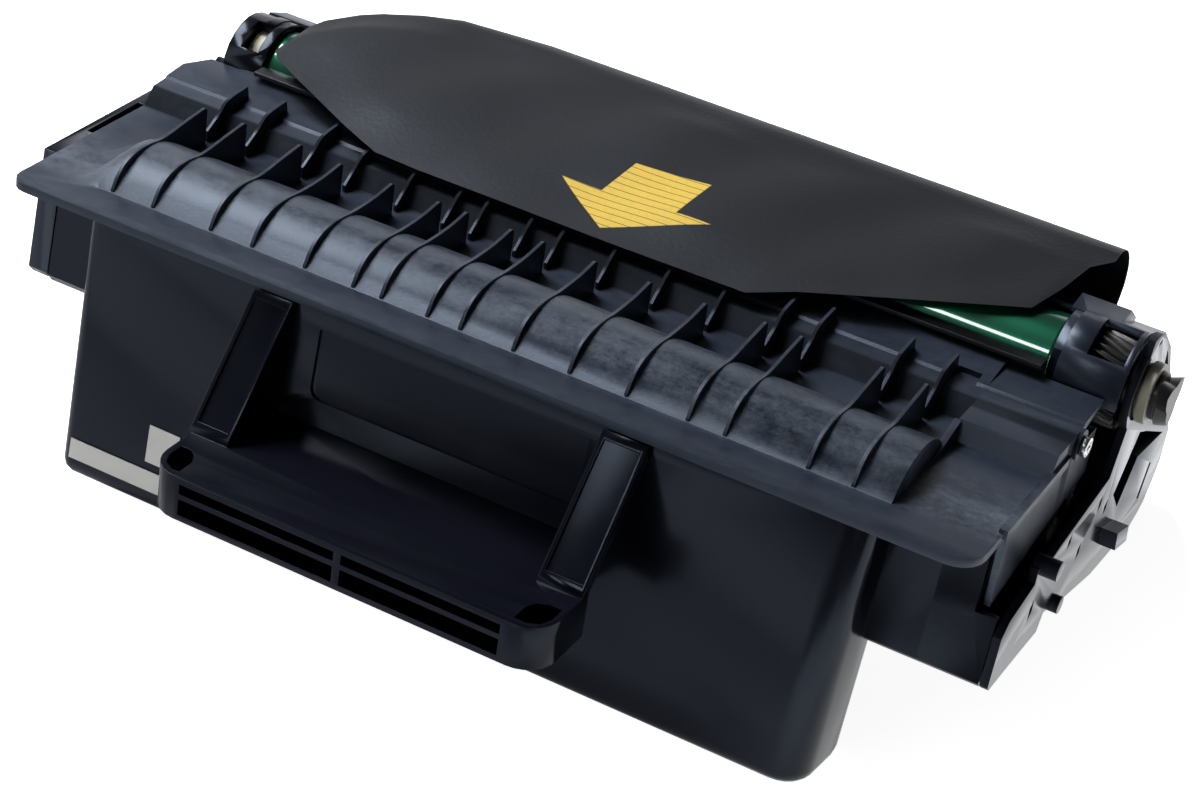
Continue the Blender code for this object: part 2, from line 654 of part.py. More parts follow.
def build_drum_frame(mat):
    shell = [(110.6, 16.0), (120.0, 12.8), (131.0, 3.4), (142.4, -13.6), (144.4, -20.0),
             (144.4, -38.5), (139.5, -45.6), (132.0, -49.4), (107.5, -51.6),
             (105.0, -49.5), (105.0, -24.0), (108.5, -19.5), (114.5, -18.0),
             (120.5, -13.5), (121.0, -5.0), (117.0, 2.4),
             (118.9, 3.4), (123.1, -4.6), (122.4, -14.6), (115.3, -19.9),
             (109.5, -21.4), (107.0, -24.7), (107.0, -48.7), (108.3, -49.6),
             (131.4, -47.5), (138.2, -44.0), (142.4, -37.9), (142.4, -19.4),
             (140.5, -12.9), (129.4, 2.2), (119.0, 11.0), (110.0, 14.1)]
    frame = piece("drum_frame", prism(shell, UNIT_LEFT, UNIT_RIGHT), mat)
    body = [(89.6, -14.0), (89.6, 9.5)] + arc(DRUM, 14.4, 142, 48, 9)
    body += [(119.4, 12.0), (130.0, 2.8), (141.4, -13.2), (143.4, -20.0),
             (143.4, -38.0), (138.8, -44.8), (131.7, -48.4), (108.0, -50.6),
             (106.0, -49.0), (106.0, -24.4)]
    walls = bmesh.new()
    add_prism(walls, body, 15.1, 18.2)
    add_prism(walls, body, LID_LENGTH - 17.4, LID_LENGTH - 14.4)
    fuse(frame, "end_walls", walls)
    left = ring_line(ARCH_LEFT_R, 10.9, -70, 205)
    fuse(frame, "left_arch", prism(left, *ARCH_LEFT_X))
    face = ARCH_LEFT_X[0]
    fuse(frame, "left_disc", rod(DRUM, 13.4, face - 0.2, face + 2.4, 28))
    fuse(frame, "left_knob", rod((90.2, 5.6), 1.7, face - 3.6, face + 0.6, 14))
    right = ring_line(ARCH_RIGHT_R, 13.1, -35, 184, 22)
    fuse(frame, "right_arch", prism(right, LID_LENGTH - 15.0, UNIT_RIGHT - 0.2))
    wing = [(104.0, 17.6), (104.0, 18.8), (112.0, 19.6), (118.6, 14.6), (117.4, 13.2),
            (111.4, 15.2)]
    fuse(frame, "roof_wing", prism(wing, LID_LENGTH - 19.0, LID_LENGTH - 5.0))

    bores = bmesh.new()
    add_rod(bores, DRUM, 2.5 + GAP, face - 2.0, face + 4.0)
    cut(frame, "pin_bore", bores)
    cut(frame, "flange_bore", rod(DRUM, 10.9, face + 4.0, 22.0, 24))
    cut(frame, "gear_bore", rod(DRUM, 9.0 + 2 * GAP, LID_LENGTH - 19.0, LID_LENGTH - 13.0, 24))
    windows = bmesh.new()
    add_prism(windows, [DRUM] + arc(DRUM, 30.0, 98, 142, 2), 12.4, 18.4)
    cut(frame, "left_window", windows)
    cut(frame, "left_notch", prism([(94.0, 40.0)] + LEFT_TOP + [(150.0, 40.0)],
                                   UNIT_LEFT - 2, face - 0.2))
    window = bmesh.new()
    add_prism(window, [polar(DRUM, 6.0, 105)] + arc(DRUM, 30.0, 70, 146, 3),
              LID_LENGTH - 8.6, LID_LENGTH + 1.6)
    cut(frame, "right_window", window)
    return frame


# End covers

def cover_line(foot_low):
    """Lower edge shared by both end covers, front to back, with the foot."""
    return [(15.8, -42.4), (17.2, -43.8), (38.9, -44.4), (50.8, -45.0), (53.2, -40.2),
            (69.5, -45.2), (95.0, -50.9), (117.5, -52.6),
            (119.6, on_floor(119.6, foot_low)), (133.0, on_floor(133.0, foot_low)),
            (137.2, -48.6), (140.9, -44.4), (144.3, -38.6), (144.3, -28.4)]


def build_right_plate(mat, foot_low):
    line = cover_line(foot_low)
    line += [(133.0, -12.0)] + arc(DRUM, 15.5, -12, 96, 12) + arc(DRUM, 11.6, 104, 226, 12)
    line += [(88.0, -16.6), (79.6, -17.4), (54.4, -19.8), (43.4, -21.6), (43.4, -18.0),
             (37.0, -18.0), (37.0, -22.6), (21.4, -25.2), (17.4, -28.4)]
    inner = UNIT_RIGHT + GAP
    outer = inner + PLATE
    plate = piece("right_end_plate", prism(line, inner, outer), mat)
    lugs = bmesh.new()
    add_prism(lugs, [(94.6, -35.6), (105.7, -38.7), (107.2, -44.5), (96.3, -41.9)],
              inner + 0.4, outer + 4.5)
    add_prism(lugs, circle((40.2, -18.4), 2.7, 14), inner + 0.1, outer + 4.6)
    add_prism(lugs, circle((61.0, -41.4), 2.4, 12), inner + 0.4, outer + 2.0)
    fuse(plate, "guide_pegs", lugs)
    holes = bmesh.new()
    far = outer + 3.0
    near = inner - 3.0
    add_prism(holes, [(109.1, -12.4), (117.0, -15.8), (137.6, -26.0), (114.4, -22.8),
                      (105.2, -34.2), (97.3, -26.4)], near, far)
    add_prism(holes, [(131.4, -33.0), (133.2, -34.0), (129.0, -43.8), (127.0, -42.8)],
              near, far)
    for y, z, a, b in ((84.7, -22.8, 1.0, 2.4), (91.6, -27.6, 1.0, 2.2), (61.9, -22.9, 1.0, 2.0),
                       (74.0, -32.2, 1.0, 2.4), (39.2, -31.7, 1.1, 2.8), (105.4, 17.0, 1.2, 0.8)):
        add_prism(holes, [(y - a, z - b), (y + a, z - b * 0.4), (y + a, z + b), (y - a, z + b * 0.4)],
                  near, far)
    cut(plate, "plate_slots", holes)
    cut(plate, "bearing_hole", rod(DRUM, 7.5 + GAP, near, far, 24))
    return plate


def build_left_cap(mat, foot_low):
    lower = cover_line(foot_low)
    line = [(16.4, -35.6), (18.4, -37.9), (38.9, -38.8), (52.0, -39.6)]
    line += lower[5:-1]
    line += [(144.3, -33.2), (118.0, -15.0), (104.0, -5.6), (92.4, 1.6), (84.0, 1.0),
             (80.0, 0.0), (21.4, -0.6)]
    cap = piece("left_end_cap", prism(line, CAP_OUT, UNIT_LEFT - GAP), mat)
    hollow = [(18.4, -34.8), (19.6, -36.0), (38.7, -37.0), (52.2, -37.8), (70.0, -43.2),
              (95.0, -48.9), (117.5, -50.6), (132.4, -48.2),
              (136.0, -46.9), (139.2, -43.2), (142.3, -38.0), (142.3, -34.4),
              (117.0, -16.8), (103.0, -7.6), (91.4, -0.8), (85.0, -1.2),
              (80.8, -2.2), (23.4, -2.6)]
    cut(cap, "cap_hollow", prism(hollow, CAP_OUT + PLATE, 6.0))
    seat = box((-GAP, 10.0), (12.0, LID_DEPTH + GAP), (-LID_THICK - GAP, 20.0))
    cut(cap, "lid_seat", seat)
    cut(cap, "top_slot", box((-2.4, 10.0), (38.0, 62.0), (-6.0, 10.0)))
    return cap


# Turning pieces

def placed(name, bm, mat, centre, smooth=True):
    return piece(name, bm, mat, (0.0, centre[0], centre[1]), smooth)


def build_drum(mats):
    tube = lathe([(DRUM_X[0], 11.1), (DRUM_X[0], DRUM_R), (DRUM_X[1], DRUM_R),
                  (DRUM_X[1], 11.1)], 40)
    placed("drum_tube", tube, mats["green"], DRUM)
    face = ARCH_LEFT_X[0]
    flange = turned([(face + 4.3, DRUM_X[0] - GAP, 10.5), (DRUM_X[0] - GAP, 29.0, 10.8)], 20,
                    bore=2.5 + GAP)
    placed("drum_flange", flange, mats["cream"], DRUM)
    pin = turned([(face - 0.1, 25.6, 2.5)], 20)
    placed("drum_pin", pin, mats["steel"], DRUM)

    phase = 0.0
    teeth = gear_bm(DRUM_TEETH, phase, 1, GEAR_X, GEAR_X + 14.0, 4.0, sections=2)
    gear = placed("drum_gear", teeth, mats["gear_black"], DRUM, smooth=False)
    back, rim = GEAR_X - 17.0, DRUM_X[1]
    hub = lathe([(back, 4.0), (back, 10.8), (rim - GAP, 10.8), (rim, 9.0), (GEAR_X + 1.0, 9.0),
                 (GEAR_X + 1.0, 4.0)], 24, DRUM)
    fuse(gear, "gear_hub", hub)
    end = COUPLING_END - 4.0
    boss = lathe([(GEAR_X + 13.0, 4.0), (GEAR_X + 13.0, 6.2), (end, 6.2), (end, 4.0)], 24, DRUM)
    fuse(gear, "gear_boss", boss)

    lobes = []
    for i in range(36):
        angle = math.tau * i / 36
        radius = 6.4 + 1.8 * math.cos(3 * angle + 0.5)
        lobes.append((radius * math.cos(angle), radius * math.sin(angle)))
    coupling = prism(lobes, end + GAP, COUPLING_END)
    part = placed("drum_coupling", coupling, mats["peg_black"], DRUM, smooth=False)
    fuse(part, "coupling_stem", rod(DRUM, 4.0 - GAP, GEAR_X + 11.0, end + 1.6, 24))

    seat = UNIT_RIGHT + 0.1
    lip = UNIT_RIGHT + GAP + PLATE + GAP
    ring = lathe([(seat, 6.5), (seat, 7.5), (lip, 7.5), (lip, 8.6), (end, 8.6),
                  (end, 6.5)], 24)
    placed("drum_bearing", ring, mats["cream"], DRUM)
    return phase


def build_rollers(mats, drum_phase):
    high = GEAR_X + LAYER
    dev_phase = meshed_phase(DRUM, DRUM_TEETH, drum_phase, DEV, DEV_TEETH)
    idler_phase = meshed_phase(DEV, DEV_TEETH, dev_phase, IDLER, IDLER_TEETH)
    supply_phase = meshed_phase(IDLER, IDLER_TEETH, idler_phase, SUPPLY, SUPPLY_TEETH)
    transfer_phase = meshed_phase(IDLER, IDLER_TEETH, idler_phase,
                                  TRANSFER, TRANSFER_TEETH)
    agitator_phase = meshed_phase(TRANSFER, TRANSFER_TEETH, transfer_phase,
                                  AGITATOR, AGITATOR_TEETH)
    second = high + LAYER_GAP

    placed("developer_roller", turned([(*ROLLER_X, DEV_R)], 28, bore=3.0 + GAP),
           mats["rubber"], DEV)
    placed("developer_shaft", turned([(0.4, high + 0.4, 3.0)], 24), mats["steel"], DEV)
    placed("developer_gear", gear_bm(DEV_TEETH, dev_phase, -1, GEAR_X, high, 3.0 + GAP),
           mats["gear_grey"], DEV, smooth=False)
    for name, x0, x1 in (("developer_bush_left", UNIT_LEFT - 0.2, UNIT_LEFT + WALL + 1.4),
                         ("developer_bush_right", BAY_LEFT - WALL - 1.4, BAY_LEFT + 0.2)):
        inner = x1 if name.endswith("left") else x0
        flange_x = (inner - 1.1, inner) if name.endswith("left") else (inner, inner + 1.1)
        steps = [(x0, flange_x[0], 4.2), (*flange_x, 5.2)]
        if name.endswith("right"):
            steps = [(*flange_x, 5.2), (flange_x[1], x1, 4.2)]
        placed(name, turned(steps, 14, bore=3.0 + GAP), mats["cream"], DEV)

    placed("supply_roller", turned([(*ROLLER_X, SUPPLY_R)], 24, bore=2.5 + GAP),
           mats["foam"], SUPPLY)
    placed("supply_shaft", turned([(0.8, second + LAYER + 0.2, 2.5)], 20),
           mats["steel"], SUPPLY)
    placed("supply_gear",
           gear_bm(SUPPLY_TEETH, supply_phase, -1, second, second + LAYER, 2.5 + GAP),
           mats["gear_grey"], SUPPLY, smooth=False)

    placed("idler_gear",
           gear_bm(IDLER_TEETH, idler_phase, 1, GEAR_X, second + LAYER, 2.5 + GAP, 2),
           mats["gear_grey"], IDLER, smooth=False)
    placed("transfer_gear",
           gear_bm(TRANSFER_TEETH, transfer_phase, -1, GEAR_X, high, 2.5 + GAP),
           mats["gear_grey"], TRANSFER, smooth=False)
    placed("agitator_gear",
           gear_bm(AGITATOR_TEETH, agitator_phase, 1, GEAR_X, high, 3.0 + GAP),
           mats["gear_grey"], AGITATOR, smooth=False)

    shaft = turned([(0.6, high + 0.4, 3.0)], 20)
    agitator = placed("agitator", shaft, mats["gear_grey"], AGITATOR)
    bars = [24.0 + 48.2 * i for i in range(6)]
    fuse(agitator, "paddle_bar", box((bars[0], bars[-1] + 3.0),
         (AGITATOR[0] + PADDLE_R - 2.4, AGITATOR[0] + PADDLE_R),
         (AGITATOR[1] - 1.2, AGITATOR[1] + 1.2)))
    arms = bmesh.new()
    for x in bars:
        add_box(arms, (x + 0.4, x + 2.6), (AGITATOR[0] + 0.5, AGITATOR[0] + PADDLE_R - 1.0),
                (AGITATOR[1] - 1.0, AGITATOR[1] + 1.0))
    fuse(agitator, "paddle_arms", arms)


def coil_bm(start, direction, length, radius, wire, turns, count=8, sides=5):
    """Open coil of round wire along a direction in the YZ plane."""
    bm = bmesh.new()
    axis = Vector((0.0, direction[0], direction[1])).normalized()
    across = Vector((1.0, 0.0, 0.0))
    up = axis.cross(across).normalized()
    origin = Vector(start)
    steps = int(turns * count)
    rings = []
    for i in range(steps + 1):
        angle = math.tau * i / count
        radial = across * math.cos(angle) + up * math.sin(angle)
        middle = origin + axis * (length * i / steps) + radial * radius
        ring = []
        for k in range(sides):
            turn = math.tau * k / sides
            offset = radial * math.cos(turn) + axis * math.sin(turn)
            ring.append(bm.verts.new(middle + offset * wire))
        rings.append(ring)
    for one, two in zip(rings, rings[1:]):
        for k in range(sides):
            n = (k + 1) % sides
            bm.faces.new((one[k], one[n], two[n], two[k]))
    bm.faces.new(rings[0])
    bm.faces.new(rings[-1])
    return bm


def build_charge(mats):
    placed("charge_roller", turned([(27.0, LID_LENGTH - 25.0, CHARGE_R)], 24, bore=3.0 + GAP),
           mats["rubber"], CHARGE)
    placed("charge_shaft", turned([(20.6, LID_LENGTH - 18.4, 3.0)], 20), mats["steel"], CHARGE)
    direction = (math.cos(math.radians(-50)), math.sin(math.radians(-50)))
    side = (-direction[1], direction[0])
    for name, x0, x1 in (("left", 21.5, 25.5), ("right", LID_LENGTH - 23.4, LID_LENGTH - 19.4)):
        corners = []
        for along, across in ((-4.4, -4.2), (4.2, -4.2), (4.2, 4.2), (-4.4, 4.2)):
            corners.append((CHARGE[0] + along * direction[0] + across * side[0],
                            CHARGE[1] + along * direction[1] + across * side[1]))
        block = piece("charge_bearing_" + name, prism(corners, x0, x1), mats["cream"])
        cut(block, "charge_bore_" + name, rod(CHARGE, 3.0 + GAP, x0 - 2, x1 + 2, 20))
        start = polar(CHARGE, 4.2 + 0.35 + 0.1, -50)
        coil = coil_bm(((x0 + x1) / 2, *start), direction, 2.1, 1.5, 0.35, 2.5)
        piece("charge_spring_" + name, coil, mats["steel"], smooth=True)


def build_blades(mats):
    blade = [(112.75, 7.9), (113.0, 9.6), (121.4, 6.56), (120.8, 4.8)]
    piece("cleaning_blade", prism(blade, 22.0, LID_LENGTH - 21.4), mats["amber"])
    bracket = [(114.6, 9.35), (115.0, 10.5), (123.0, 7.3), (124.2, 3.4), (123.0, 3.0),
               (121.9, 6.68)]
    piece("blade_bracket", prism(bracket, 21.8, LID_LENGTH - 19.2), mats["steel_grey"])
    bar = [(LID_DEPTH + GAP, 1.3), (LID_DEPTH + GAP + 1.5, 1.3), (LID_DEPTH + GAP + 1.5, 9.2),
           (LID_DEPTH + GAP + 1.0, 10.4), (83.6, 10.4), (83.6, 9.1), (LID_DEPTH + GAP, 9.1)]
    piece("doctor_bracket", prism(bar, 21.8, LID_LENGTH - 17.8), mats["steel_grey"])
    strip = [(85.9, 1.1), (86.5, 0.9), (86.5, 5.2), (85.9, 5.1)]
    piece("doctor_blade", prism(strip, 22.0, LID_LENGTH - 21.0), mats["steel"])


def build_small(mats):
    plug = turned([(1.0, UNIT_LEFT - GAP, 10.4), (UNIT_LEFT - GAP, UNIT_LEFT + WALL + 1.6, 8.7)],
                  28)
    placed("toner_plug", plug, mats["cream"], PLUG_AT)

    head = LID_LENGTH + 1.3
    screw = turned([(head - 7.9, head, 1.35), (head, head + 1.7, 2.8)], 20)
    part = placed("end_screw", screw, mats["steel"], SCREW_AT)
    cross = bmesh.new()
    y, z = SCREW_AT
    add_box(cross, (head + 0.9, head + 3.0), (y - 1.6, y + 1.6), (z - 0.35, z + 0.35))
    cut(part, "screw_slot_a", cross)
    other = bmesh.new()
    add_box(other, (head + 1.0, head + 3.0), (y - 0.35, y + 0.35), (z - 1.6, z + 1.6))
    cut(part, "screw_slot_b", other)

    strip = bmesh.new()
    face = ARCH_LEFT_X[0] - 0.2
    add_prism(strip, [(99.6, 3.0), (106.6, -4.6), (109.0, -2.4), (102.2, 6.0)],
              face - 0.8, face - 0.3)
    piece("drum_contact", strip, mats["steel"])

    for name, x0, x1, z0, z1 in (("label_strip", 29.8, 80.0, -73.4, -67.5),
                                 ("label_square", 54.3, 64.2, -65.0, -53.9)):
        bm = bmesh.new()
        corners = []
        for z in (z0, z1):
            front = TUB_FRONT + TUB_DRAFT * -z
            for y in (front - 0.4, front - 0.1):
                dy, dz = leaned(y, z)
                corners.append((dy, dz))
        line = [corners[0], corners[1], corners[3], corners[2]]
        piece(name, add_prism(bm, line, x0, x1), mats["label"])


# Folded light shield over the drum

SHEET_FRONT = [(24.4, 93.3), (30.0, 89.0), (35.6, 84.7), (60.2, 72.4), (74.0, 66.6),
               (87.9, 65.6), (114.0, 65.6), (150.0, 65.4), (189.6, 66.0), (201.4, 72.7),
               (226.4, 83.4), (239.0, 90.2), (260.8, 101.4), (265.2, 108.7)]
SHEET_END = 268.9


def sheet_height(y):
    return 9.35 + 0.238 * (y - 65.0)


def build_sheet(mat):
    """Skin of the shield, later thickened: flat over the drum, curled behind."""
    bm = bmesh.new()
    curl = [(130.0, 24.8), (135.4, 24.0), (139.8, 21.0), (142.6, 16.6), (143.4, 11.0),
            (141.8, 6.0), (138.6, 2.2)]
    rows = []
    stations = SHEET_FRONT + [(SHEET_END, 124.0)]
    for x, front in stations:
        if x < 60.0:
            reach = (x - 24.4) / (60.2 - 24.4)
        else:
            reach = 1.0
        back = 103.0 + (130.0 - 103.0) * math.sqrt(max(reach, 0.02))
        row = []
        for k in range(4):
            y = front + (back - front) * k / 3
            row.append((x, y, sheet_height(y)))
        for y, z in curl[1:]:
            full = min(max((x - 40.0) / 50.0, 0.04), 1.0)
            row.append((x, back + (y - 130.0) * full,
                        sheet_height(back) + (z - 24.8) * full))
        rows.append([bm.verts.new(co) for co in row])
    for one, two in zip(rows, rows[1:]):
        for i in range(len(one) - 1):
            bm.faces.new((one[i], two[i], two[i + 1], one[i + 1]))
    sheet = piece("protective_sheet", bm, mat, smooth=True)
    solid = sheet.modifiers.new("thickness", "SOLIDIFY")
    solid.thickness = SHEET_THICK * MM
    solid.offset = 0.0
    solid.use_even_offset = True
    return sheet


SCREW_AT = (69.0, 1.0)
PLUG_AT = (62.0, -27.0)

clear_scene()
DECK = make_empty("deck")

navy = (0.020, 0.022, 0.034)
MATS = {
    "shell": make_material("navy_shell", navy, 0.30),
    "lid": make_material("navy_lid", (0.026, 0.029, 0.042), 0.42),
    "grip": make_material("navy_handle", (0.022, 0.024, 0.036), 0.34),
    "frame": make_material("navy_frame", (0.024, 0.026, 0.038), 0.36),
    "cover": make_material("navy_cover", (0.028, 0.031, 0.046), 0.22),
    "green": make_material("drum_green", (0.010, 0.32, 0.17), 0.16),
    "cream": make_material("cream_plastic", (0.70, 0.68, 0.55), 0.45),
    "gear_black": make_material("black_gear", (0.018, 0.018, 0.020), 0.40),
    "gear_grey": make_material("grey_gear", (0.42, 0.42, 0.40), 0.45),
    "peg_black": make_material("black_coupling", (0.014, 0.014, 0.016), 0.36),
    "rubber": make_material("black_rubber", (0.030, 0.030, 0.032), 0.62),
    "foam": make_material("grey_foam", (0.16, 0.16, 0.17), 0.9),
    "amber": make_material("amber_rubber", (0.45, 0.24, 0.06), 0.35),
    "steel": make_material("bright_steel", (0.62, 0.62, 0.63), 0.28, 1.0),
    "steel_grey": make_material("plated_steel", (0.36, 0.37, 0.39), 0.38, 1.0),
    "label": make_material("white_label", (0.80, 0.80, 0.79), 0.5),
    "film": make_material("black_film", (0.016, 0.017, 0.019), 0.55),
}

_, tub_low = build_housing(MATS["shell"])
build_lid(MATS["lid"])
build_handle(MATS["grip"])
build_drum_frame(MATS["frame"])
build_right_plate(MATS["cover"], tub_low)
build_left_cap(MATS["cover"], tub_low)
start_phase = build_drum(MATS)
build_rollers(MATS, start_phase)
build_charge(MATS)
build_blades(MATS)
build_small(MATS)
build_sheet(MATS["film"])


def rest_and_centre():
    """Tip the deck to its rest and put the box's bottom centre on the origin."""
    DECK.rotation_euler = (-REST_TILT, 0.0, 0.0)
    bpy.context.view_layer.update()
    graph = bpy.context.evaluated_depsgraph_get()
    low = Vector((math.inf,) * 3)
    high = Vector((-math.inf,) * 3)
    for obj in bpy.data.objects:
        if obj.type != "MESH" or obj.hide_render:
            continue
        shape = obj.evaluated_get(graph)
        for vert in shape.data.vertices:
            spot = shape.matrix_world @ vert.co
            for k in range(3):
                low[k] = min(low[k], spot[k])
                high[k] = max(high[k], spot[k])
    middle = (low + high) / 2
    DECK.location = (-middle.x, -middle.y, -low.z)
    bpy.context.view_layer.update()
    return low, high


rest_and_centre()
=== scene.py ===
# %% [markdown]
# # A toner cartridge, dressed for its photograph
#
# The solids of this cartridge are already made: a deep leaning hopper, a lid
# with a dome and thin fins that guide the paper, a carrying handle, a green
# photoconductor drum and its gear train. This file gives them their looks.
# It loads the solids as a fixed frame, sets a camera where the photographer
# stood, mixes a procedural material for each plastic, metal and film,
# rebuilds the pieces that need more form than a plain solid has, and lights a
# pale studio. Nothing that a solid carries may move, so every new piece is
# made round the place that its node already holds.

# %% Load the frame
import json
import math

import bmesh
import bpy
from mathutils import Matrix, Vector


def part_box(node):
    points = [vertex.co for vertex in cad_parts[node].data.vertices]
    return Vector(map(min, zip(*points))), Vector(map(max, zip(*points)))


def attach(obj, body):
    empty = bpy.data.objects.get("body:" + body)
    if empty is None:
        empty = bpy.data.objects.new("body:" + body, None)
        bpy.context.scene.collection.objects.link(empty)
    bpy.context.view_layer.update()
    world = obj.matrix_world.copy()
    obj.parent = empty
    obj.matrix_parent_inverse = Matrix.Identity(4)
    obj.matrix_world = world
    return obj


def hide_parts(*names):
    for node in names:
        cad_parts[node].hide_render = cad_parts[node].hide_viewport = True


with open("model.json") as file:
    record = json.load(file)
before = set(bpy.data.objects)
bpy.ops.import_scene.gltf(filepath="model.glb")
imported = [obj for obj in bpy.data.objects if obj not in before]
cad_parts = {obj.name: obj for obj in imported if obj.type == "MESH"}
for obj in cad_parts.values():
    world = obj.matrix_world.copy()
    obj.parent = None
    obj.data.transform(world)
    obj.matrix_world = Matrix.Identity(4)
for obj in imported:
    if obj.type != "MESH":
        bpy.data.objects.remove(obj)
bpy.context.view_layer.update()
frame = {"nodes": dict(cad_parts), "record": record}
nodes = frame["nodes"]
BODY_OF = {member: body
           for body, members in frame["record"]["behaviour"]["bodies"].items()
           for member in members}

# %% [markdown]
# ## The deck frame
#
# The cartridge was drawn in a frame of its own, the deck: X runs along the
# lid, Y back from its front edge and Z straight up from its flange. At rest
# the deck is tipped back by a fixed angle, because the hopper is deeper than
# the drum end. New pieces could be drawn in world metres, but every number
# would then carry the tilt. A matrix turns deck millimetres into world metres
# instead, and it is found from the drum, whose place on the deck is known.

# %% Deck millimetres to world metres
MM = 0.001
REST_TILT = math.radians(15.9)
LID_LENGTH = 285.0
DRUM = (101.0, 4.5)
DRUM_SPAN = (21.8, 267.2)
drum_low, drum_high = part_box("drum_tube")
drum_axis = (drum_low + drum_high) / 2
turn = Matrix.Rotation(-REST_TILT, 4, "X")
corner = drum_axis - (turn @ Vector((sum(DRUM_SPAN) / 2, *DRUM))) * MM
DECK = Matrix.Translation(corner) @ turn @ Matrix.Scale(MM, 4)
undeck = DECK.inverted()


def deck(x, y, z):
    """World place of a point given in deck millimetres."""
    return DECK @ Vector((x, y, z))


def deck_normal(normal):
    """A world direction, as the deck sees it."""
    return (undeck.to_3x3() @ normal).normalized()


print("lid corner", [round(v * 1000, 2) for v in corner])

# %% [markdown]
# ## Camera
#
# A camera fitted to 46 points of the photograph stands about 0.8 m away, 29.5
# degrees round to the right and 45 degrees up, held level. Its lens is
# 88 mm on a 36 mm sensor, and the picture is 1200 by 797. A longer lens from
# further off would frame the same lid, but the handle would then lose the
# slight widening towards the viewer that the photograph has.

# %% A new object for the scene
def new_object(name, data):
    """An object that shows a mesh, a lamp or a camera, linked to the scene."""
    made = bpy.data.objects.new(name, data)
    bpy.context.scene.collection.objects.link(made)
    return made


# %% Camera
lens = bpy.data.cameras.new("studio_camera")
lens.lens = 88.18
lens.sensor_width = 36.0
lens.clip_start = 0.01
camera = new_object("studio_camera", lens)
camera.location = (0.28823, -0.48814, 0.60331)
look = Vector((-0.348406, 0.615456, -0.706984))
camera.rotation_euler = look.to_track_quat("-Z", "Y").to_euler()
bpy.context.scene.camera = camera
print("camera", [round(v, 3) for v in camera.location])

# %% [markdown]
# ## Nodes from plain sums
#
# Materials, the sky and the row of fins are all node trees. Built by hand in
# the editor they are hard to read back, so here one function adds any node,
# and one small class wraps a socket and lets Python's own operators add the
# Math nodes. A mask turned round is then written 1 - mask, as on paper.

# %% One function that adds any node
def add_node(tree, kind, settings=None, sockets=None, out=0):
    """Add a node: its settings first, then its sockets' values or links."""
    node = tree.nodes.new(kind)
    for key, value in (settings or {}).items():
        if key == "stops":
            set_stops(node.color_ramp.elements, value)
        else:
            setattr(node, key, value)
    for key, value in (sockets or {}).items():
        for one in value if isinstance(value, list) else [value]:
            if isinstance(one, Reading):
                tree.links.new(one.socket, node.inputs[key])
            else:
                node.inputs[key].default_value = one
    return Reading(tree, node.outputs[out]) if node.outputs else None


def set_stops(elements, stops):
    """Give a ramp its stops, each a place and a grey."""
    while len(elements) < len(stops):
        elements.new(0.5)
    for element, (spot, shade) in zip(elements, stops):
        element.position = spot
        element.color = (shade, shade, shade, 1.0)


# %% A socket that can be added and multiplied
class Reading:
    """A socket's value, for use in sums."""

    def __init__(self, tree, socket):
        self.tree = tree
        self.socket = socket

    def combine(self, operation, one, two):
        return add_node(self.tree, "ShaderNodeMath", {"operation": operation}, {0: one, 1: two})

    def __add__(self, other):
        return self.combine("ADD", self, other)

    def __radd__(self, other):
        return self.combine("ADD", other, self)

    def __sub__(self, other):
        return self.combine("SUBTRACT", self, other)

    def __rsub__(self, other):
        return self.combine("SUBTRACT", other, self)

    def __mul__(self, other):
        return self.combine("MULTIPLY", self, other)

    def __rmul__(self, other):
        return self.combine("MULTIPLY", other, self)


# %% [markdown]
# ## A finish
#
# Every surface here is a Principled shader whose sockets are either plain
# numbers or short chains of noise and ramps. A class holds the material and
# the few chains that come back: a noise in object space, a ramp, a blend of
# two colours and a bump. Image textures would be quicker to paint, but a
# procedural finish has no seams and no resolution to run out of.

# %% A material under construction
class Finish:
    """A Principled material, built node by node."""

    def __init__(self, name, colour, roughness, **fixed):
        self.material = bpy.data.materials.new(name)
        self.material.use_nodes = True
        self.tree = self.material.node_tree
        self.shader = self.tree.nodes["Principled BSDF"]
        self.set("Base Color", (*colour, 1.0))
        self.set("Roughness", roughness)
        for key, value in fixed.items():
            self.set(key.replace("_", " "), value)
        self.place = self.add("ShaderNodeTexCoord", out="Object")

    def set(self, key, value):
        """Give a socket of the shader a number, or link a chain to it."""
        socket = self.shader.inputs[key]
        if isinstance(value, Reading):
            self.tree.links.new(value.socket, socket)
        else:
            socket.default_value = value

    def add(self, kind, settings=None, sockets=None, out=0):
        return add_node(self.tree, kind, settings, sockets, out)

    def axis(self, letter):
        """One world coordinate of the surface."""
        return self.add("ShaderNodeSeparateXYZ", None, {"Vector": self.place}, letter)

    def noise(self, scale, detail=3.0, rough=0.55, stretch=None):
        """Noise in object space, drawn out along an axis if stretch is given."""
        spot = self.place
        if stretch:
            spot = self.add("ShaderNodeMapping", None, {"Vector": spot, "Scale": stretch})
        return self.add("ShaderNodeTexNoise", None,
                        {"Vector": spot, "Scale": scale, "Detail": detail,
                         "Roughness": rough}, "Fac")

    def ramp(self, value, *stops):
        return self.add("ShaderNodeValToRGB", {"stops": stops}, {"Fac": value})

    def mix(self, mask, one, two):
        """Blend of two colours by a mask."""
        one, two = [(*c, 1.0) if isinstance(c, tuple) else c for c in (one, two)]
        return self.add("ShaderNodeMix", {"data_type": "RGBA"}, {0: mask, 6: one, 7: two}, 2)

    def bump(self, height, distance, strength=1.0):
        self.set("Normal", self.add("ShaderNodeBump", None,
                                    {"Height": height, "Distance": distance,
                                     "Strength": strength}))


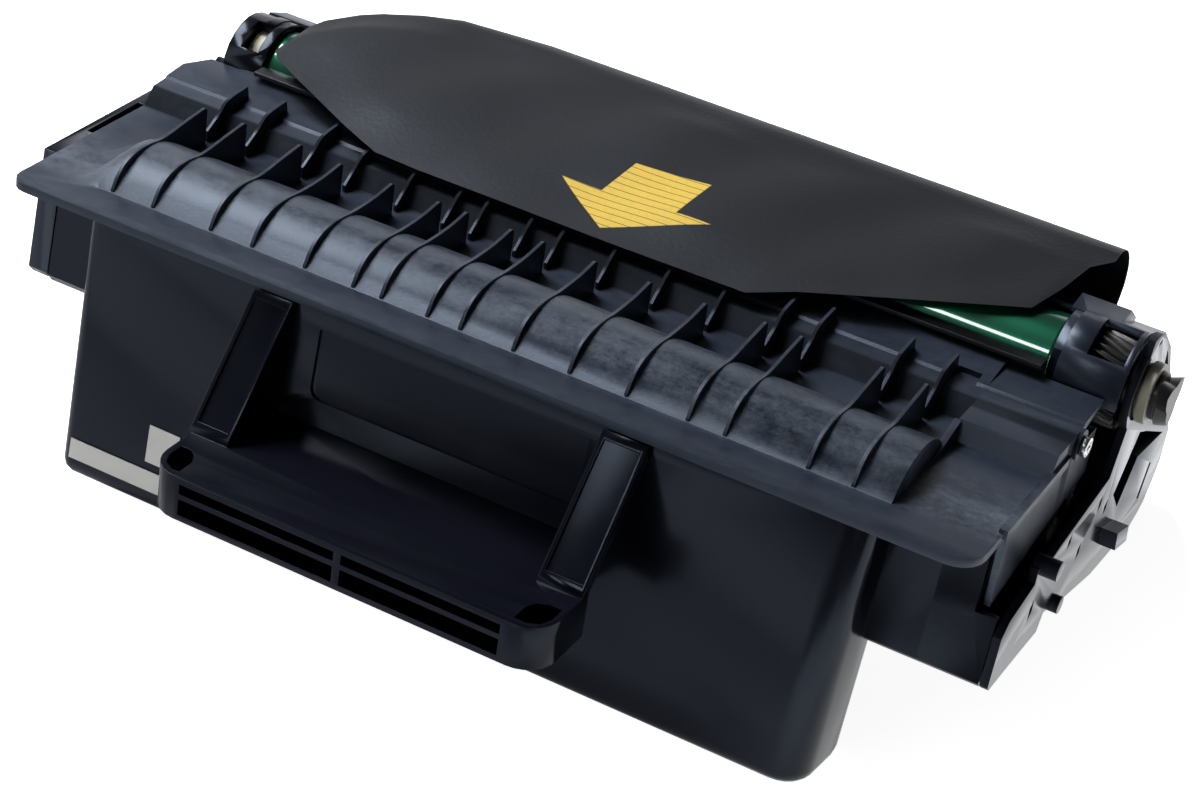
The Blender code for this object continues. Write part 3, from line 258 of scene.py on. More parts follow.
# %% [markdown]
# ## Moulded plastics
#
# The housing, lid, handle and covers are injection moulded in one very dark
# navy plastic. What tells them apart in the photograph is how each tool was
# finished. The hopper is nearly a mirror, the drum frame is satin, and the
# end cover is polished. Each finish is the same recipe with other numbers: a
# fine spark-eroded grain in the bump, a slow waviness where the wall sank as
# it cooled, and soft patches in the roughness where hands have polished it.
# Separate recipes would drift apart, and the parts would look like strangers.

# %% Recipe for a moulded plastic
SHEEN = (0.66, 0.79, 1.0, 1.0)


def moulded_plastic(name, colour, roughness, grain, wave, smudge, gloss):
    """Dark plastic; smudge is how much its handled patches lighten."""
    finish = Finish(name, colour, roughness, Specular_Tint=SHEEN, Specular_IOR_Level=gloss)
    fine = finish.noise(2600.0, 2.0)
    slow = finish.noise(26.0, 1.0, 0.4)
    finish.bump(fine * grain + slow * wave, MM)
    cloud = finish.noise(24.0, 4.0, 0.62)
    mask = finish.ramp(cloud, (0.34, 0.0), (0.76, 1.0))
    finish.set("Roughness", mask * 0.10 + (roughness - 0.03))
    dusty = tuple(c + smudge * (1.0 + 0.15 * i) for i, c in enumerate(colour))
    finish.set("Base Color", finish.mix(mask, colour, dusty))
    return finish


# %% Plastics of the mouldings
shell = moulded_plastic("hopper_plastic", (0.0052, 0.0058, 0.0105), 0.17, 0.010, 0.10, 0.0012, 0.32)
grip = moulded_plastic("handle_plastic", (0.0042, 0.0046, 0.0092), 0.18, 0.012, 0.04, 0.0012, 0.26)
cover = moulded_plastic("cover_plastic", (0.0075, 0.0085, 0.0140), 0.16, 0.006, 0.03, 0.0015, 0.80)
unit = moulded_plastic("frame_plastic", (0.0130, 0.0165, 0.0270), 0.30, 0.02, 0.04, 0.002, 0.60)
# Dark plastic that hardly shines: painted shade on the lid's right skirt and the film's cut edge,
# also used on the end plate's rim.
shade_plastic = moulded_plastic("painted_shade_plastic", (0.006, 0.007, 0.012), 0.55, 0.02, 0.02, 0.001, 0.25)
print("plastics", [f.material.name for f in (shell, grip, cover, unit, shade_plastic)])

# %% [markdown]
# The lid's dome has a frosted face that catches the light softly and shows
# cloudy smears, which run across the dome rather than along it, so the smear
# noise is stretched before it is used. The smears are paler on the dome's
# front slope and crest. The step up to the back strip is painted shade: it is
# darker and rougher where the film's shadow falls. A painted mask would do,
# but the lid is straight, so the distance from its front edge says where each
# of these bands lies.

# %% Frosted lid plastic
LID_DARK = (0.016, 0.021, 0.034)
LID_PALE = (0.085, 0.102, 0.128)
LID_STEP_SHADE = (0.003, 0.004, 0.007)
lid_plastic = Finish("lid_plastic", LID_DARK, 0.46, Specular_Tint=SHEEN)
smear = lid_plastic.noise(60.0, 5.0, 0.70, (0.6, 1.5, 1.0))
speck = lid_plastic.noise(380.0, 5.0, 0.85)
cloud = lid_plastic.ramp(smear * 0.62 + speck * 0.38, (0.42, 0.0), (0.60, 1.0))

# %% Bands across the lid, in tenths of a metre from its front edge
from_front = 10.0 * ((lid_plastic.axis("Y") - corner.y) * math.cos(REST_TILT)
                     - (lid_plastic.axis("Z") - corner.z) * math.sin(REST_TILT))
# Paler clouds on the dome's front slope and crest, fading behind the dome.
front_band = lid_plastic.ramp(from_front, (0.10, 0.15), (0.17, 1.0), (0.26, 0.85), (0.42, 0.12))
# Painted shade: the step up to the back strip is darker and rougher, where the film's shadow falls.
step_shade = lid_plastic.ramp(from_front, (0.600, 0.0), (0.615, 1.0), (0.655, 1.0), (0.670, 0.0))
front_clouds = lid_plastic.mix(cloud * front_band, LID_DARK, LID_PALE)
lid_plastic.set("Base Color", lid_plastic.mix(step_shade, front_clouds, LID_STEP_SHADE))
lid_plastic.set("Roughness", step_shade * 0.45 + (cloud * 0.12 + 0.36))
lid_plastic.bump(lid_plastic.noise(1900.0, 2.0) * 0.03 + smear * 0.10, MM)
print("lid", lid_plastic.material.name)

# %% [markdown]
# ## Metals
#
# Shafts are ground steel with fine rings from the lathe, and the bar in front
# of the drum is zinc plated sheet with long rolling streaks. Both are the
# same noise, drawn out round the axis for one and along it for the other.

# %% Steel and sheet
def ground_steel(name, colour, roughness, stretch):
    finish = Finish(name, colour, roughness, Metallic=1.0)
    streak = finish.noise(90.0, 3.0, 0.6, stretch)
    finish.set("Roughness", streak * 0.18 + (roughness - 0.07))
    finish.bump(streak, 0.1 * MM, 0.35)
    return finish


steel = ground_steel("ground_steel", (0.62, 0.62, 0.63), 0.24, (30.0, 1.0, 1.0))
plated = ground_steel("plated_sheet", (0.060, 0.062, 0.070), 0.42, (0.4, 9.0, 9.0))
print("metals", steel.material.name, plated.material.name)

# %% [markdown]
# ## Acetal, rubber, foam and paper
#
# The rest are small areas: cream acetal bearings, gears, ground rubber
# rollers, the toner sponge and the blank labels. Each is one colour with a
# cloud of a slightly darker one, and a grain whose depth tells hard moulding
# from open foam. A plain colour would look like paint beside the plastics.

# %% Small mouldings and rollers
def plain_moulding(name, colour, roughness, grain=0.05):
    finish = Finish(name, colour, roughness)
    darker = tuple(c * 0.86 for c in colour)
    finish.set("Base Color", finish.mix(finish.noise(60.0), colour, darker))
    finish.bump(finish.noise(1500.0, 2.0), MM, grain)
    return finish


cream = plain_moulding("cream_acetal", (0.70, 0.68, 0.53), 0.42)
black_gear = plain_moulding("black_gear", (0.014, 0.014, 0.016), 0.36)
grey_gear = plain_moulding("grey_gear", (0.34, 0.34, 0.33), 0.45)
rubber = plain_moulding("roller_rubber", (0.020, 0.020, 0.021), 0.62, 0.2)
foam = plain_moulding("supply_foam", (0.10, 0.10, 0.11), 0.92, 0.9)
amber = plain_moulding("blade_rubber", (0.42, 0.21, 0.05), 0.34)
paper = plain_moulding("label_paper", (0.78, 0.78, 0.76), 0.48)
print("small finishes", [f.material.name for f in (cream, black_gear, grey_gear, rubber,
                                                   foam, amber, paper)])

# %% [markdown]
# ## The photoconductor
#
# The drum is an aluminium tube under a thin green organic coating. Light goes
# through the coating, bounces off the metal and comes back green, and the
# glassy top adds a sharp white streak. So the finish is a soft green metal
# under a clear coat. A green plastic would show the streak, but not the green
# glow on either side of it.

# %% Green drum
drum_green = Finish("drum_green", (0.004, 0.16, 0.08), 0.32, Metallic=0.8,
                    Coat_Weight=1.0, Coat_Roughness=0.05, Coat_IOR=2.1)
band = drum_green.noise(14.0, 2.0, 0.5, (6.0, 0.4, 0.4))
drum_green.set("Base Color", drum_green.mix(band, (0.002, 0.115, 0.058), (0.004, 0.17, 0.085)))
print("drum", drum_green.material.name)

# %% [markdown]
# ## Paint the solids
#
# Each node gets the finish of its material in the table below. It could be
# done piece by piece as they are rebuilt, but one table is easy to check
# against the list of nodes, and nothing inside is left unpainted.

# %% Assign the finishes
FINISH_OF = {
    "toner_housing": shell, "hopper_lid": lid_plastic, "handle": grip,
    "drum_frame": unit, "right_end_plate": cover, "left_end_cap": cover,
    "drum_tube": drum_green, "drum_flange": cream, "drum_pin": steel,
    "drum_gear": black_gear, "drum_coupling": black_gear, "drum_bearing": cream,
    "charge_roller": rubber, "charge_shaft": steel,
    "charge_bearing_left": cream, "charge_bearing_right": cream,
    "charge_spring_left": steel, "charge_spring_right": steel,
    "cleaning_blade": amber, "blade_bracket": plated, "doctor_blade": steel,
    "doctor_bracket": plated, "developer_roller": rubber,
    "developer_shaft": steel, "developer_bush_left": cream,
    "developer_bush_right": cream, "developer_gear": grey_gear,
    "supply_roller": foam, "supply_shaft": steel, "supply_gear": grey_gear,
    "idler_gear": grey_gear, "transfer_gear": grey_gear, "agitator": grey_gear,
    "agitator_gear": grey_gear, "toner_plug": cream, "drum_contact": steel,
    "end_screw": steel, "label_strip": paper, "label_square": paper,
    "protective_sheet": black_gear,
}
for name, finish in FINISH_OF.items():
    mesh = nodes[name].data
    mesh.materials.clear()
    mesh.materials.append(finish.material)
print("painted", len(FINISH_OF), "of", len(nodes))

# %% [markdown]
# ## The lid without its fins
#
# On the real lid each fin is about a millimetre thick and follows a soft
# curve from end to end. The solid has plain ones, 1.4 mm thick with cornered
# tops. Mending them where they stand would mean moving hundreds of corners,
# so they are shaved off a copy of the lid, the slits they leave are closed,
# and new fins are planted later in the same places. A corner near a fin's
# place that stands proud of the lid's own profile belongs to the fin.

# %% Where the fins stand
FIN_X = [LID_LENGTH * share for share in (
    0.0923, 0.1389, 0.2046, 0.2512, 0.3098, 0.3628, 0.3933, 0.4425,
    0.4772, 0.5330, 0.5909, 0.6488, 0.7102, 0.7470, 0.8277, 0.8712)]
PLAIN_FIN_HALF = 0.75
FIN_REACH = (11.0, 80.0)
FIN_ROOT = -1.2
print("fins stand at", [round(x, 1) for x in FIN_X])

# %% Profile of the lid
DOME_FRONT = 12.0
DOME_BACK = 45.0
DOME_RISE = 8.5
LID_REAR = [(45.0, 0.0), (46.0, -0.5), (61.5, -0.5), (65.5, 4.8), (71.0, 5.2),
            (71.8, 5.9), (86.9, 8.2)]


def along(table, x):
    """Value of a table of points at x, by straight interpolation."""
    for (x0, y0), (x1, y1) in zip(table, table[1:]):
        if x <= x1:
            return y0 + (y1 - y0) * max(0.0, (x - x0) / (x1 - x0))
    return table[-1][1]


def dome_top(y):
    """Height of the dome, an arc of a circle, above the flange."""
    half = (DOME_BACK - DOME_FRONT) / 2
    radius = (half ** 2 + DOME_RISE ** 2) / (2 * DOME_RISE)
    return DOME_RISE - radius + math.sqrt(radius ** 2 - (y - DOME_FRONT - half) ** 2)


def lid_top(y):
    """Height of the lid's face across the dome, the trough and the back strip."""
    if DOME_FRONT < y < DOME_BACK:
        return dome_top(y)
    return along(LID_REAR, y) if y >= DOME_BACK else 0.0


print("dome is highest at", round(dome_top((DOME_FRONT + DOME_BACK) / 2), 2))

# %% Shaving the fins off a copy
PROUD = 0.12


def shave_fins(bm):
    """Take the plain fins off a copy of the lid and close the slits they leave."""
    close = {}
    for vert in bm.verts:
        spot = undeck @ vert.co
        for x in FIN_X:
            by_fin = abs(spot.x - x) < PLAIN_FIN_HALF
            if by_fin and FIN_REACH[0] < spot.y < FIN_REACH[1] and spot.z > FIN_ROOT:
                close[vert] = (x, spot)
    sides = [face for face in bm.faces if all(v in close for v in face.verts)
             and abs(deck_normal(face.normal).x) > 0.9]
    proud = [v for v, (x, spot) in close.items() if spot.z > lid_top(spot.y) + PROUD]
    print("fin corners shaved", len(proud), "side faces", len(sides))
    bmesh.ops.delete(bm, geom=sides, context="FACES_ONLY")
    for vert in proud:
        close.pop(vert)
    bmesh.ops.delete(bm, geom=proud, context="VERTS")
    for vert, (x, spot) in close.items():
        vert.co = deck(x, spot.y, spot.z)
    bmesh.ops.remove_doubles(bm, verts=bm.verts, dist=0.02 * MM)


# %% [markdown]
# ## Rounding the mouldings
#
# A moulded edge is never sharp. It has a radius of a few tenths of a
# millimetre, and that radius is what draws the thin bright line along every
# edge in the photograph. Modelling it in the solids would multiply their
# faces. A Bevel modifier on a copy of each visible solid does it for little,
# once the copy is cleaned of its triangulation, and the copy then stands in
# for the plain node.

# %% Soft edges
def soften(piece, width, corner_angle):
    """Smooth the faces, and round the edges sharper than an angle in degrees."""
    for poly in piece.data.polygons:
        poly.use_smooth = True
    if width:
        bevel = piece.modifiers.new("edge radius", "BEVEL")
        bevel.width = width * MM
        bevel.segments = 2
        bevel.limit_method = "ANGLE"
        bevel.angle_limit = math.radians(corner_angle)
        bevel.harden_normals = True


# %% A rounded copy of a solid
FLAT_ENOUGH = 0.6
MOULDED_CORNER = 32.0


def rounded(name, width):
    """Copy a node, clean it, and round its edges by width millimetres."""
    bm = bmesh.new()
    bm.from_mesh(nodes[name].data)
    bmesh.ops.remove_doubles(bm, verts=bm.verts, dist=0.002 * MM)
    if name == "hopper_lid":
        shave_fins(bm)
    bmesh.ops.dissolve_limit(bm, angle_limit=math.radians(FLAT_ENOUGH),
                             verts=bm.verts, edges=bm.edges)
    mesh = bpy.data.meshes.new(name + "_moulding")
    bm.to_mesh(mesh)
    bm.free()
    mesh.materials.append(FINISH_OF[name].material)
    piece = new_object(name + "_moulding", mesh)
    soften(piece, width, MOULDED_CORNER)
    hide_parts(name)
    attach(piece, BODY_OF[name])
    return piece


# %% Round the visible mouldings
EDGE_RADIUS = {
    "toner_housing": 0.45, "hopper_lid": 0.30, "handle": 0.55, "drum_frame": 0.30,
    "right_end_plate": 0.14, "left_end_cap": 0.40, "drum_flange": 0.25,
    "drum_gear": 0.10, "doctor_bracket": 0.15, "end_screw": 0.15,
}
mouldings = {name: rounded(name, width) for name, width in EDGE_RADIUS.items()}
print("rounded", len(mouldings), "mouldings")

# %% [markdown]
# Three mouldings have a second finish. The arch over the drum's left end is
# as glossy as the hopper. The lid's right skirt takes a darker plastic that
# hardly shines, a painted shade for the dark gap beside the end plate, and the
# rim of the end plate takes the same dark plastic. They are one moulding with
# the rest, so a second material slot is used, chosen by where a face lies on
# the deck and which way it points.

# %% Second finishes on a moulding
ARCH_LEFT_END = 24.5
ARCH_FOOT = -6.0
SKIRT_SIDE = 282.0
SKIRT_TOP = -2.4


def on_arch(spot, facing):
    return spot.x < ARCH_LEFT_END and spot.z > ARCH_FOOT


def on_skirt(spot, facing):
    return spot.x > SKIRT_SIDE and spot.z < SKIRT_TOP and abs(facing.x) > 0.7


def on_rim(spot, facing):
    return abs(facing.x) < 0.6


for name, second, chosen in (("drum_frame", shell, on_arch), ("hopper_lid", shade_plastic, on_skirt),
                             ("right_end_plate", shade_plastic, on_rim)):
    mesh = mouldings[name].data
    mesh.materials.append(second.material)
    picked = [p for p in mesh.polygons if chosen(undeck @ p.center, deck_normal(p.normal))]
    for poly in picked:
        poly.material_index = 1
    print(name, "second finish on", len(picked), "faces")

# %% [markdown]
# ## Turned pieces on the drum's axis
#
# The drum, the cream ring of its bearing and the drive coupling share one
# axis. The first two are plain turned shapes. The coupling, which the
# printer's motor grips, has three twisted prongs on a round foot. A Spin or a
# Screw modifier could turn the first two but not the third, so one function
# sweeps a list of rings along the axis, and each ring gives its radius as a
# number or as a rule of the angle.

# %% Sweep along the drum's axis
TURNED_CORNER = 35.0


def swept(name, sections, replaced, width, count=72):
    """Closed skin through (x, radius, turn) sections, given in millimetres."""
    bm = bmesh.new()
    rings = []
    for x, radius, angle in sections:
        ring = []
        for k in range(count):
            a = math.tau * k / count
            r = radius(a) if callable(radius) else radius
            ring.append(bm.verts.new(deck(x, DRUM[0] + r * math.cos(a + angle),
                                          DRUM[1] + r * math.sin(a + angle))))
        rings.append(ring)
    for one, two in zip(rings, rings[1:]):
        for k in range(count):
            n = (k + 1) % count
            bm.faces.new((one[k], one[n], two[n], two[k]))
    if sections[0] == sections[-1]:
        bmesh.ops.remove_doubles(bm, verts=bm.verts, dist=0.001 * MM)
    else:
        bm.faces.new(rings[0][::-1])
        bm.faces.new(rings[-1])
    bmesh.ops.recalc_face_normals(bm, faces=bm.faces)
    mesh = bpy.data.meshes.new(name)
    bm.to_mesh(mesh)
    bm.free()
    mesh.materials.append(FINISH_OF[replaced].material)
    piece = new_object(name, mesh)
    soften(piece, width, TURNED_CORNER)
    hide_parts(replaced)
    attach(piece, BODY_OF[replaced])
    print(name, "faces", len(mesh.polygons))


# %% [markdown]
# The drum's skin is given 180 sides and rounded rims of its own, with a ring
# a millimetre in from each end, so that the shading of its long faces stays
# true and the lamp's streak runs straight along it.

# %% Drum skin
DRUM_OUTER = 12.0
DRUM_BORE = 11.1
RIM = 0.15


def tube(left, right, outer, inner, rim):
    """Sections of a tube whose four rims are rounded, back to where they start."""
    wall = [(left + rim, inner), (left, inner + rim), (left, outer - rim),
            (left + rim, outer), (left + 1.0, outer), (right - 1.0, outer),
            (right - rim, outer), (right, outer - rim), (right, inner + rim),
            (right - rim, inner), (left + rim, inner)]
    return [(x, radius, 0.0) for x, radius in wall]


swept("green_drum", tube(*DRUM_SPAN, DRUM_OUTER, DRUM_BORE, RIM), "drum_tube", 0.0, 180)

# %% Drive coupling and its ring
TWIST = math.radians(16.0)


def three_prongs(a):
    """Radius of the pronged outline: sharp corners and hollow flanks."""
    wave = abs((a * 3 / math.tau) % 1.0 - 0.5) * 2
    return 4.3 + 3.6 * wave ** 1.5


foot = [(284.0, 3.6, 0.0), (294.4, 3.6, 0.0), (294.4, 6.6, 0.0), (295.7, 6.6, 0.0)]
prongs = [(295.8 + 3.2 * k / 6, three_prongs, TWIST + 0.30 * k / 6) for k in range(7)]
swept("drive_coupling", foot + prongs, "drum_coupling", 0.12)
swept("bearing_ring", [(288.5, 7.4, 0.0), (291.4, 7.4, 0.0), (291.4, 8.5, 0.0), (294.2, 8.5, 0.0)],
      "drum_bearing", 0.25)

# %% [markdown]
# ## Paper guide fins
#
# Sixteen thin fins cross the dome. Paper slides over their tops on its way
# out, so they are smooth along the top, and a little taller near the two ends
# of the lid. They are two profiles, a low and a tall one, repeated at set
# places, which suits Geometry Nodes: each profile is extruded to a thickness
# once and placed on a row of points. Copies made by hand would each have to
# be changed when the thickness does, and here it is one input.

# %% Smooth line through a few points
def smooth_line(points, steps=5):
    """Points of a curve that passes through all the given ones."""
    line = []
    for i in range(len(points) - 1):
        a, b = points[max(i - 1, 0)], points[i]
        c, d = points[i + 1], points[min(i + 2, len(points) - 1)]
        for k in range(steps):
            t = k / steps
            line.append(tuple(
                0.5 * (2 * b[n] + (c[n] - a[n]) * t
                       + (2 * a[n] - 5 * b[n] + 4 * c[n] - d[n]) * t * t
                       + (3 * b[n] - a[n] - 3 * c[n] + d[n]) * t ** 3) for n in (0, 1)))
    return line + [points[-1]]


# %% Profiles of a fin
CREST = ((14.4, 1.75), (17.6, 2.0), (22.0, 1.35), (27.5, 0.65), (35.0, 1.0))
SUNK = -0.7


def fin_profile(name, tall):
    """Front and back fin of one station, as two flat faces at x = 0."""
    peak = 9.3 + 0.9 * tall
    top = [(12.2, 0.9)] + [(y, dome_top(y) + lift) for y, lift in CREST]
    top += [(45.0, peak - 0.9), (53.9, peak + 0.1)]
    front = smooth_line(top) + [(55.1, peak - 0.6), (55.1, SUNK), (12.2, SUNK)]
    rise = [(57.3 - tall, 1.3 + tall), (61.4, 4.6 + tall), (65.6, 7.7 + tall),
            (72.4 + 2 * tall, 8.7 + tall)]
    back = smooth_line(rise) + [(73.5 + 2 * tall, 5.2), (67.0, 3.9), (62.0, SUNK),
                                (57.3 - tall, SUNK)]
    bm = bmesh.new()
    for line in (front, back):
        bm.faces.new([bm.verts.new(turn @ Vector((0.0, y, z)) * MM) for y, z in line])
    mesh = bpy.data.meshes.new(name)
    bm.to_mesh(mesh)
    bm.free()
    return new_object(name, mesh)


TALLER = 1.3
low_fin = fin_profile("fin_low", 0.0)
tall_fin = fin_profile("fin_tall", TALLER)
print("profile corners", len(low_fin.data.vertices), len(tall_fin.data.vertices))

# %% Row of points, one for each fin
LOW_FROM = 60.0
LOW_TO = 200.0
stations = bpy.data.meshes.new("fin_stations")
stations.from_pydata([tuple(deck(x, 0.0, 0.0)) for x in FIN_X], [], [])
flags = stations.attributes.new("tall", "INT", "POINT")
for i, x in enumerate(FIN_X):
    flags.data[i].value = 0 if LOW_FROM <= x <= LOW_TO else 1
fins = new_object("guide_fins", stations)
print("stations", len(stations.vertices))

# %% Inputs of the node tree
maker_tree = bpy.data.node_groups.new("guide_fins", "GeometryNodeTree")
panel = maker_tree.interface
for label, kind in (("Stations", "Geometry"), ("Low profile", "Object"),
                    ("Tall profile", "Object"), ("Thickness", "Float"),
                    ("Finish", "Material")):
    panel.new_socket(label, in_out="INPUT", socket_type="NodeSocket" + kind)
panel.new_socket("Fins", in_out="OUTPUT", socket_type="NodeSocketGeometry")


def geo(kind, sockets=None, out=0, **settings):
    """A node of the fin maker's tree."""
    return add_node(maker_tree, kind, settings, sockets, out)


def given(label):
    """One of the tree's own inputs."""
    return geo("NodeGroupInput", out=label)


print("sockets", [item.name for item in panel.items_tree])

# %% Extrude, centre and place one profile
def placed_fins(label, flag):
    """Copies of one profile on the stations that carry its flag."""
    flat = geo("GeometryNodeObjectInfo", {"Object": given(label)}, "Geometry")
    grown = geo("GeometryNodeExtrudeMesh",
                {"Mesh": flat, "Offset": (1.0, 0.0, 0.0),
                 "Offset Scale": given("Thickness"), "Individual": False})
    other_side = geo("GeometryNodeFlipFaces", {"Mesh": flat})
    both = geo("GeometryNodeJoinGeometry", {"Geometry": [grown, other_side]})
    closed = geo("GeometryNodeMergeByDistance", {"Geometry": both, "Distance": 0.01 * MM})
    shift = geo("ShaderNodeCombineXYZ", {"X": given("Thickness") * -0.5})
    centred = geo("GeometryNodeTransform", {"Geometry": closed, "Translation": shift})
    tall = geo("GeometryNodeInputNamedAttribute", {"Name": "tall"}, "Attribute", data_type="INT")
    chosen = geo("FunctionNodeCompare", {2: tall, 3: flag}, data_type="INT", operation="EQUAL")
    return geo("GeometryNodeInstanceOnPoints",
               {"Points": given("Stations"), "Selection": chosen, "Instance": centred})


rows = geo("GeometryNodeJoinGeometry",
           {"Geometry": [placed_fins("Tall profile", 1), placed_fins("Low profile", 0)]})
solid = geo("GeometryNodeRealizeInstances", {"Geometry": rows})
dressed = geo("GeometryNodeSetMaterial", {"Geometry": solid, "Material": given("Finish")})
geo("NodeGroupOutput", {"Fins": dressed})
print("nodes in the fin maker", len(maker_tree.nodes))

# %% Fins baked to a plain mesh
FIN_THICKNESS = 1.05
FIN_EDGE = 0.18
FIN_CORNER = 40.0
sizes = {"Low profile": low_fin, "Tall profile": tall_fin,
         "Thickness": FIN_THICKNESS * MM, "Finish": lid_plastic.material}
maker = fins.modifiers.new("fin maker", "NODES")
maker.node_group = maker_tree
for item in panel.items_tree:
    if item.in_out == "INPUT" and item.name in sizes:
        maker[item.identifier] = sizes[item.name]
bpy.context.view_layer.update()
graph = bpy.context.evaluated_depsgraph_get()
fin_mesh = bpy.data.meshes.new_from_object(fins.evaluated_get(graph))
fins.modifiers.remove(maker)
fins.data = fin_mesh
for profile in (low_fin, tall_fin):
    bpy.data.objects.remove(profile)
soften(fins, FIN_EDGE, FIN_CORNER)
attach(fins, BODY_OF["hopper_lid"])
print("fins", len(FIN_X), "faces", len(fin_mesh.polygons))

# %% [markdown]
# ## The light shield
#
# A black film is folded over the drum to keep light off it until the
# cartridge is used. It lies on the drum's arches, bows a little between them,
# and rolls down behind. It could be draped by a cloth solver, but the film is
# stiff and its outline is known, so it is drawn as a grid of rows that run
# from its front edge over the back fold, with a few shallow buckles added.
# Its UV map is the flat film, in millimetres over a hundred, so that a
# print stays on it wherever it bends.

# %% Outline of the film on the deck
FILM_SPAN = (24.4, 268.9)
FRONT_EDGE = [(24.4, 90.0), (27.0, 86.8), (36.0, 82.4), (60.2, 71.6), (74.0, 66.2),
              (87.9, 65.6), (114.0, 65.6), (150.0, 65.4), (189.6, 66.0), (201.4, 72.7),
              (226.4, 83.4), (239.0, 88.8), (257.5, 97.0), (261.2, 107.6),
              (264.0, 120.5), (268.9, 126.5)]
BACK_EDGE = [(24.4, 94.0), (26.0, 105.2), (28.1, 109.7), (35.3, 117.2), (40.8, 121.0),
             (50.9, 125.7), (62.0, 129.0), (90.0, 130.0), (268.9, 130.0)]
ROLL = [(2.8, -0.15), (5.4, -0.8), (7.8, -2.1), (9.8, -3.8), (11.4, -6.0), (12.6, -8.4),
        (13.2, -11.0), (13.4, -13.8), (12.9, -16.4), (11.8, -18.8), (10.4, -20.9),
        (8.6, -22.6)]


FILM_FRONT = 65.0
FRONT_HEIGHT = 9.35
FILM_SLOPE = 0.238


def share(value, full):
    """How far a value is on its way from nought to full, held between 0 and 1."""
    return min(max(value / full, 0.0), 1.0)


def film_height(x, y):
    """Height of the film over the deck, with its shallow buckles."""
    plane = FRONT_HEIGHT + FILM_SLOPE * (y - FILM_FRONT)
    from_edge = share(y - along(FRONT_EDGE, x), 14.0)
    from_back = share(along(BACK_EDGE, x) - y, 10.0)
    buckle = 0.55 * math.sin(0.060 * x + 0.045 * y) + 0.35 * math.sin(0.135 * x - 0.11 * y + 1.3)
    belly = 1.1 * math.sin(math.pi * share(y - 66.0, 64.0))
    return plane + buckle * from_edge * from_back + belly * from_back


print("film at its middle", round(film_height(150.0, 98.0), 2), "mm over the deck")

# %% One row of the film, from its front edge over the roll
ROW_STEPS = 26
ROLL_STEP = 2.7


def film_row(x):
    """World place and flat place of each point of the film at x."""
    front, back = along(FRONT_EDGE, x), along(BACK_EDGE, x)
    row = []
    for k in range(ROW_STEPS + 1):
        y = front + (back - front) * k / ROW_STEPS
        row.append((deck(x, y, film_height(x, y)), (x, y)))
    full = max(0.04, share(x - 40.0, 50.0))
    for n, (dy, dz) in enumerate(ROLL, 1):
        curl = 0.25 * math.sin(x * 0.11 + n * 0.5) * n / len(ROLL)
        spot = deck(x, back + dy * full + curl, film_height(x, back) + dz * full)
        row.append((spot, (x, back + ROLL_STEP * n * full)))
    return row


# %% Film mesh
PRINT_UNIT = 100.0
COLUMNS = 96
film_width = FILM_SPAN[1] - FILM_SPAN[0]
even = {round(FILM_SPAN[0] + film_width * k / COLUMNS, 3) for k in range(COLUMNS + 1)}
columns = sorted(even | {x for x, _ in FRONT_EDGE} | {x for x, _ in BACK_EDGE})
bm = bmesh.new()
flat_film = bm.loops.layers.uv.new("film")
grid = [[(bm.verts.new(spot), place) for spot, place in film_row(x)] for x in columns]
for one, two in zip(grid, grid[1:]):
    for i in range(len(one) - 1):
        corners = (one[i], two[i], two[i + 1], one[i + 1])
        face = bm.faces.new([vert for vert, _ in corners])
        for loop, (_, place) in zip(face.loops, corners):
            loop[flat_film].uv = (place[0] / PRINT_UNIT, place[1] / PRINT_UNIT)
bmesh.ops.remove_doubles(bm, verts=bm.verts, dist=0.002 * MM)
for face in bm.faces:
    face.smooth = True
for edge in bm.edges:
    edge.smooth = not edge.is_boundary
film_area = sum(face.calc_area() for face in bm.faces)
film_mesh = bpy.data.meshes.new("light_shield_film")
bm.to_mesh(film_mesh)
bm.free()
print("film area", round(film_area, 5), "m2, faces", len(film_mesh.polygons))

# %% [markdown]
# ## Printed arrow
#
# A yellow arrow on the film points to the side it is pulled off. An image
# would blur on a close look. Here the arrow is a block and a triangle, each
# of them the place where a few straight lines all say inside, so its edges
# stay sharp at any distance. Thin gaps across it are where the screen print
# left stripes.

# %% Film and its flat coordinates
FILM_BLACK = (0.0155, 0.0158, 0.0175)
ARROW_YELLOW = (0.74, 0.52, 0.085)
PRINT_SHARPNESS = 500.0
film = Finish("shield_film", FILM_BLACK, 0.44, Specular_IOR_Level=0.36, Specular_Tint=SHEEN)
sheet_uv = film.add("ShaderNodeUVMap", {"uv_map": "film"})
across = film.add("ShaderNodeSeparateXYZ", None, {"Vector": sheet_uv}, "X")
down = film.add("ShaderNodeSeparateXYZ", None, {"Vector": sheet_uv}, "Y")


def inside(points):
    """Mask that is 1 inside a convex outline, given anticlockwise in millimetres."""
    mask = 1.0
    for (x0, y0), (x1, y1) in zip(points, points[1:] + points[:1]):
        length = math.hypot(x1 - x0, y1 - y0)
        a, b = -(y1 - y0) / length, (x1 - x0) / length
        level = across * a + down * b - (a * x0 + b * y0) / PRINT_UNIT
        mask *= film.add("ShaderNodeMath", {"operation": "MULTIPLY_ADD", "use_clamp": True},
                         {0: level, 1: PRINT_SHARPNESS, 2: 0.5})
    return mask


# %% Film with its printed arrow
shaft = inside([(135.8, 81.0), (158.8, 82.6), (161.8, 98.4), (139.2, 96.8)])
head = inside([(143.7, 69.4), (169.5, 83.7), (123.8, 83.0)])
arrow = film.add("ShaderNodeMath", {"operation": "MAXIMUM"}, {0: shaft, 1: head})
stripe = film.add("ShaderNodeMath", {"operation": "PINGPONG"}, {0: down, 1: 0.0122})
printed = film.ramp(stripe * 82.0, (0.06, 0.25), (0.16, 1.0))
weave = film.noise(900.0)
film.set("Base Color", film.mix(arrow * printed * (weave * 0.3 + 0.8), FILM_BLACK, ARROW_YELLOW))
film.bump(film.noise(700.0) * 0.08 + film.noise(18.0, 2.0) * 0.5, MM)
film.set("Roughness", film.noise(45.0) * 0.14 + 0.37)
print("film", film.material.name)

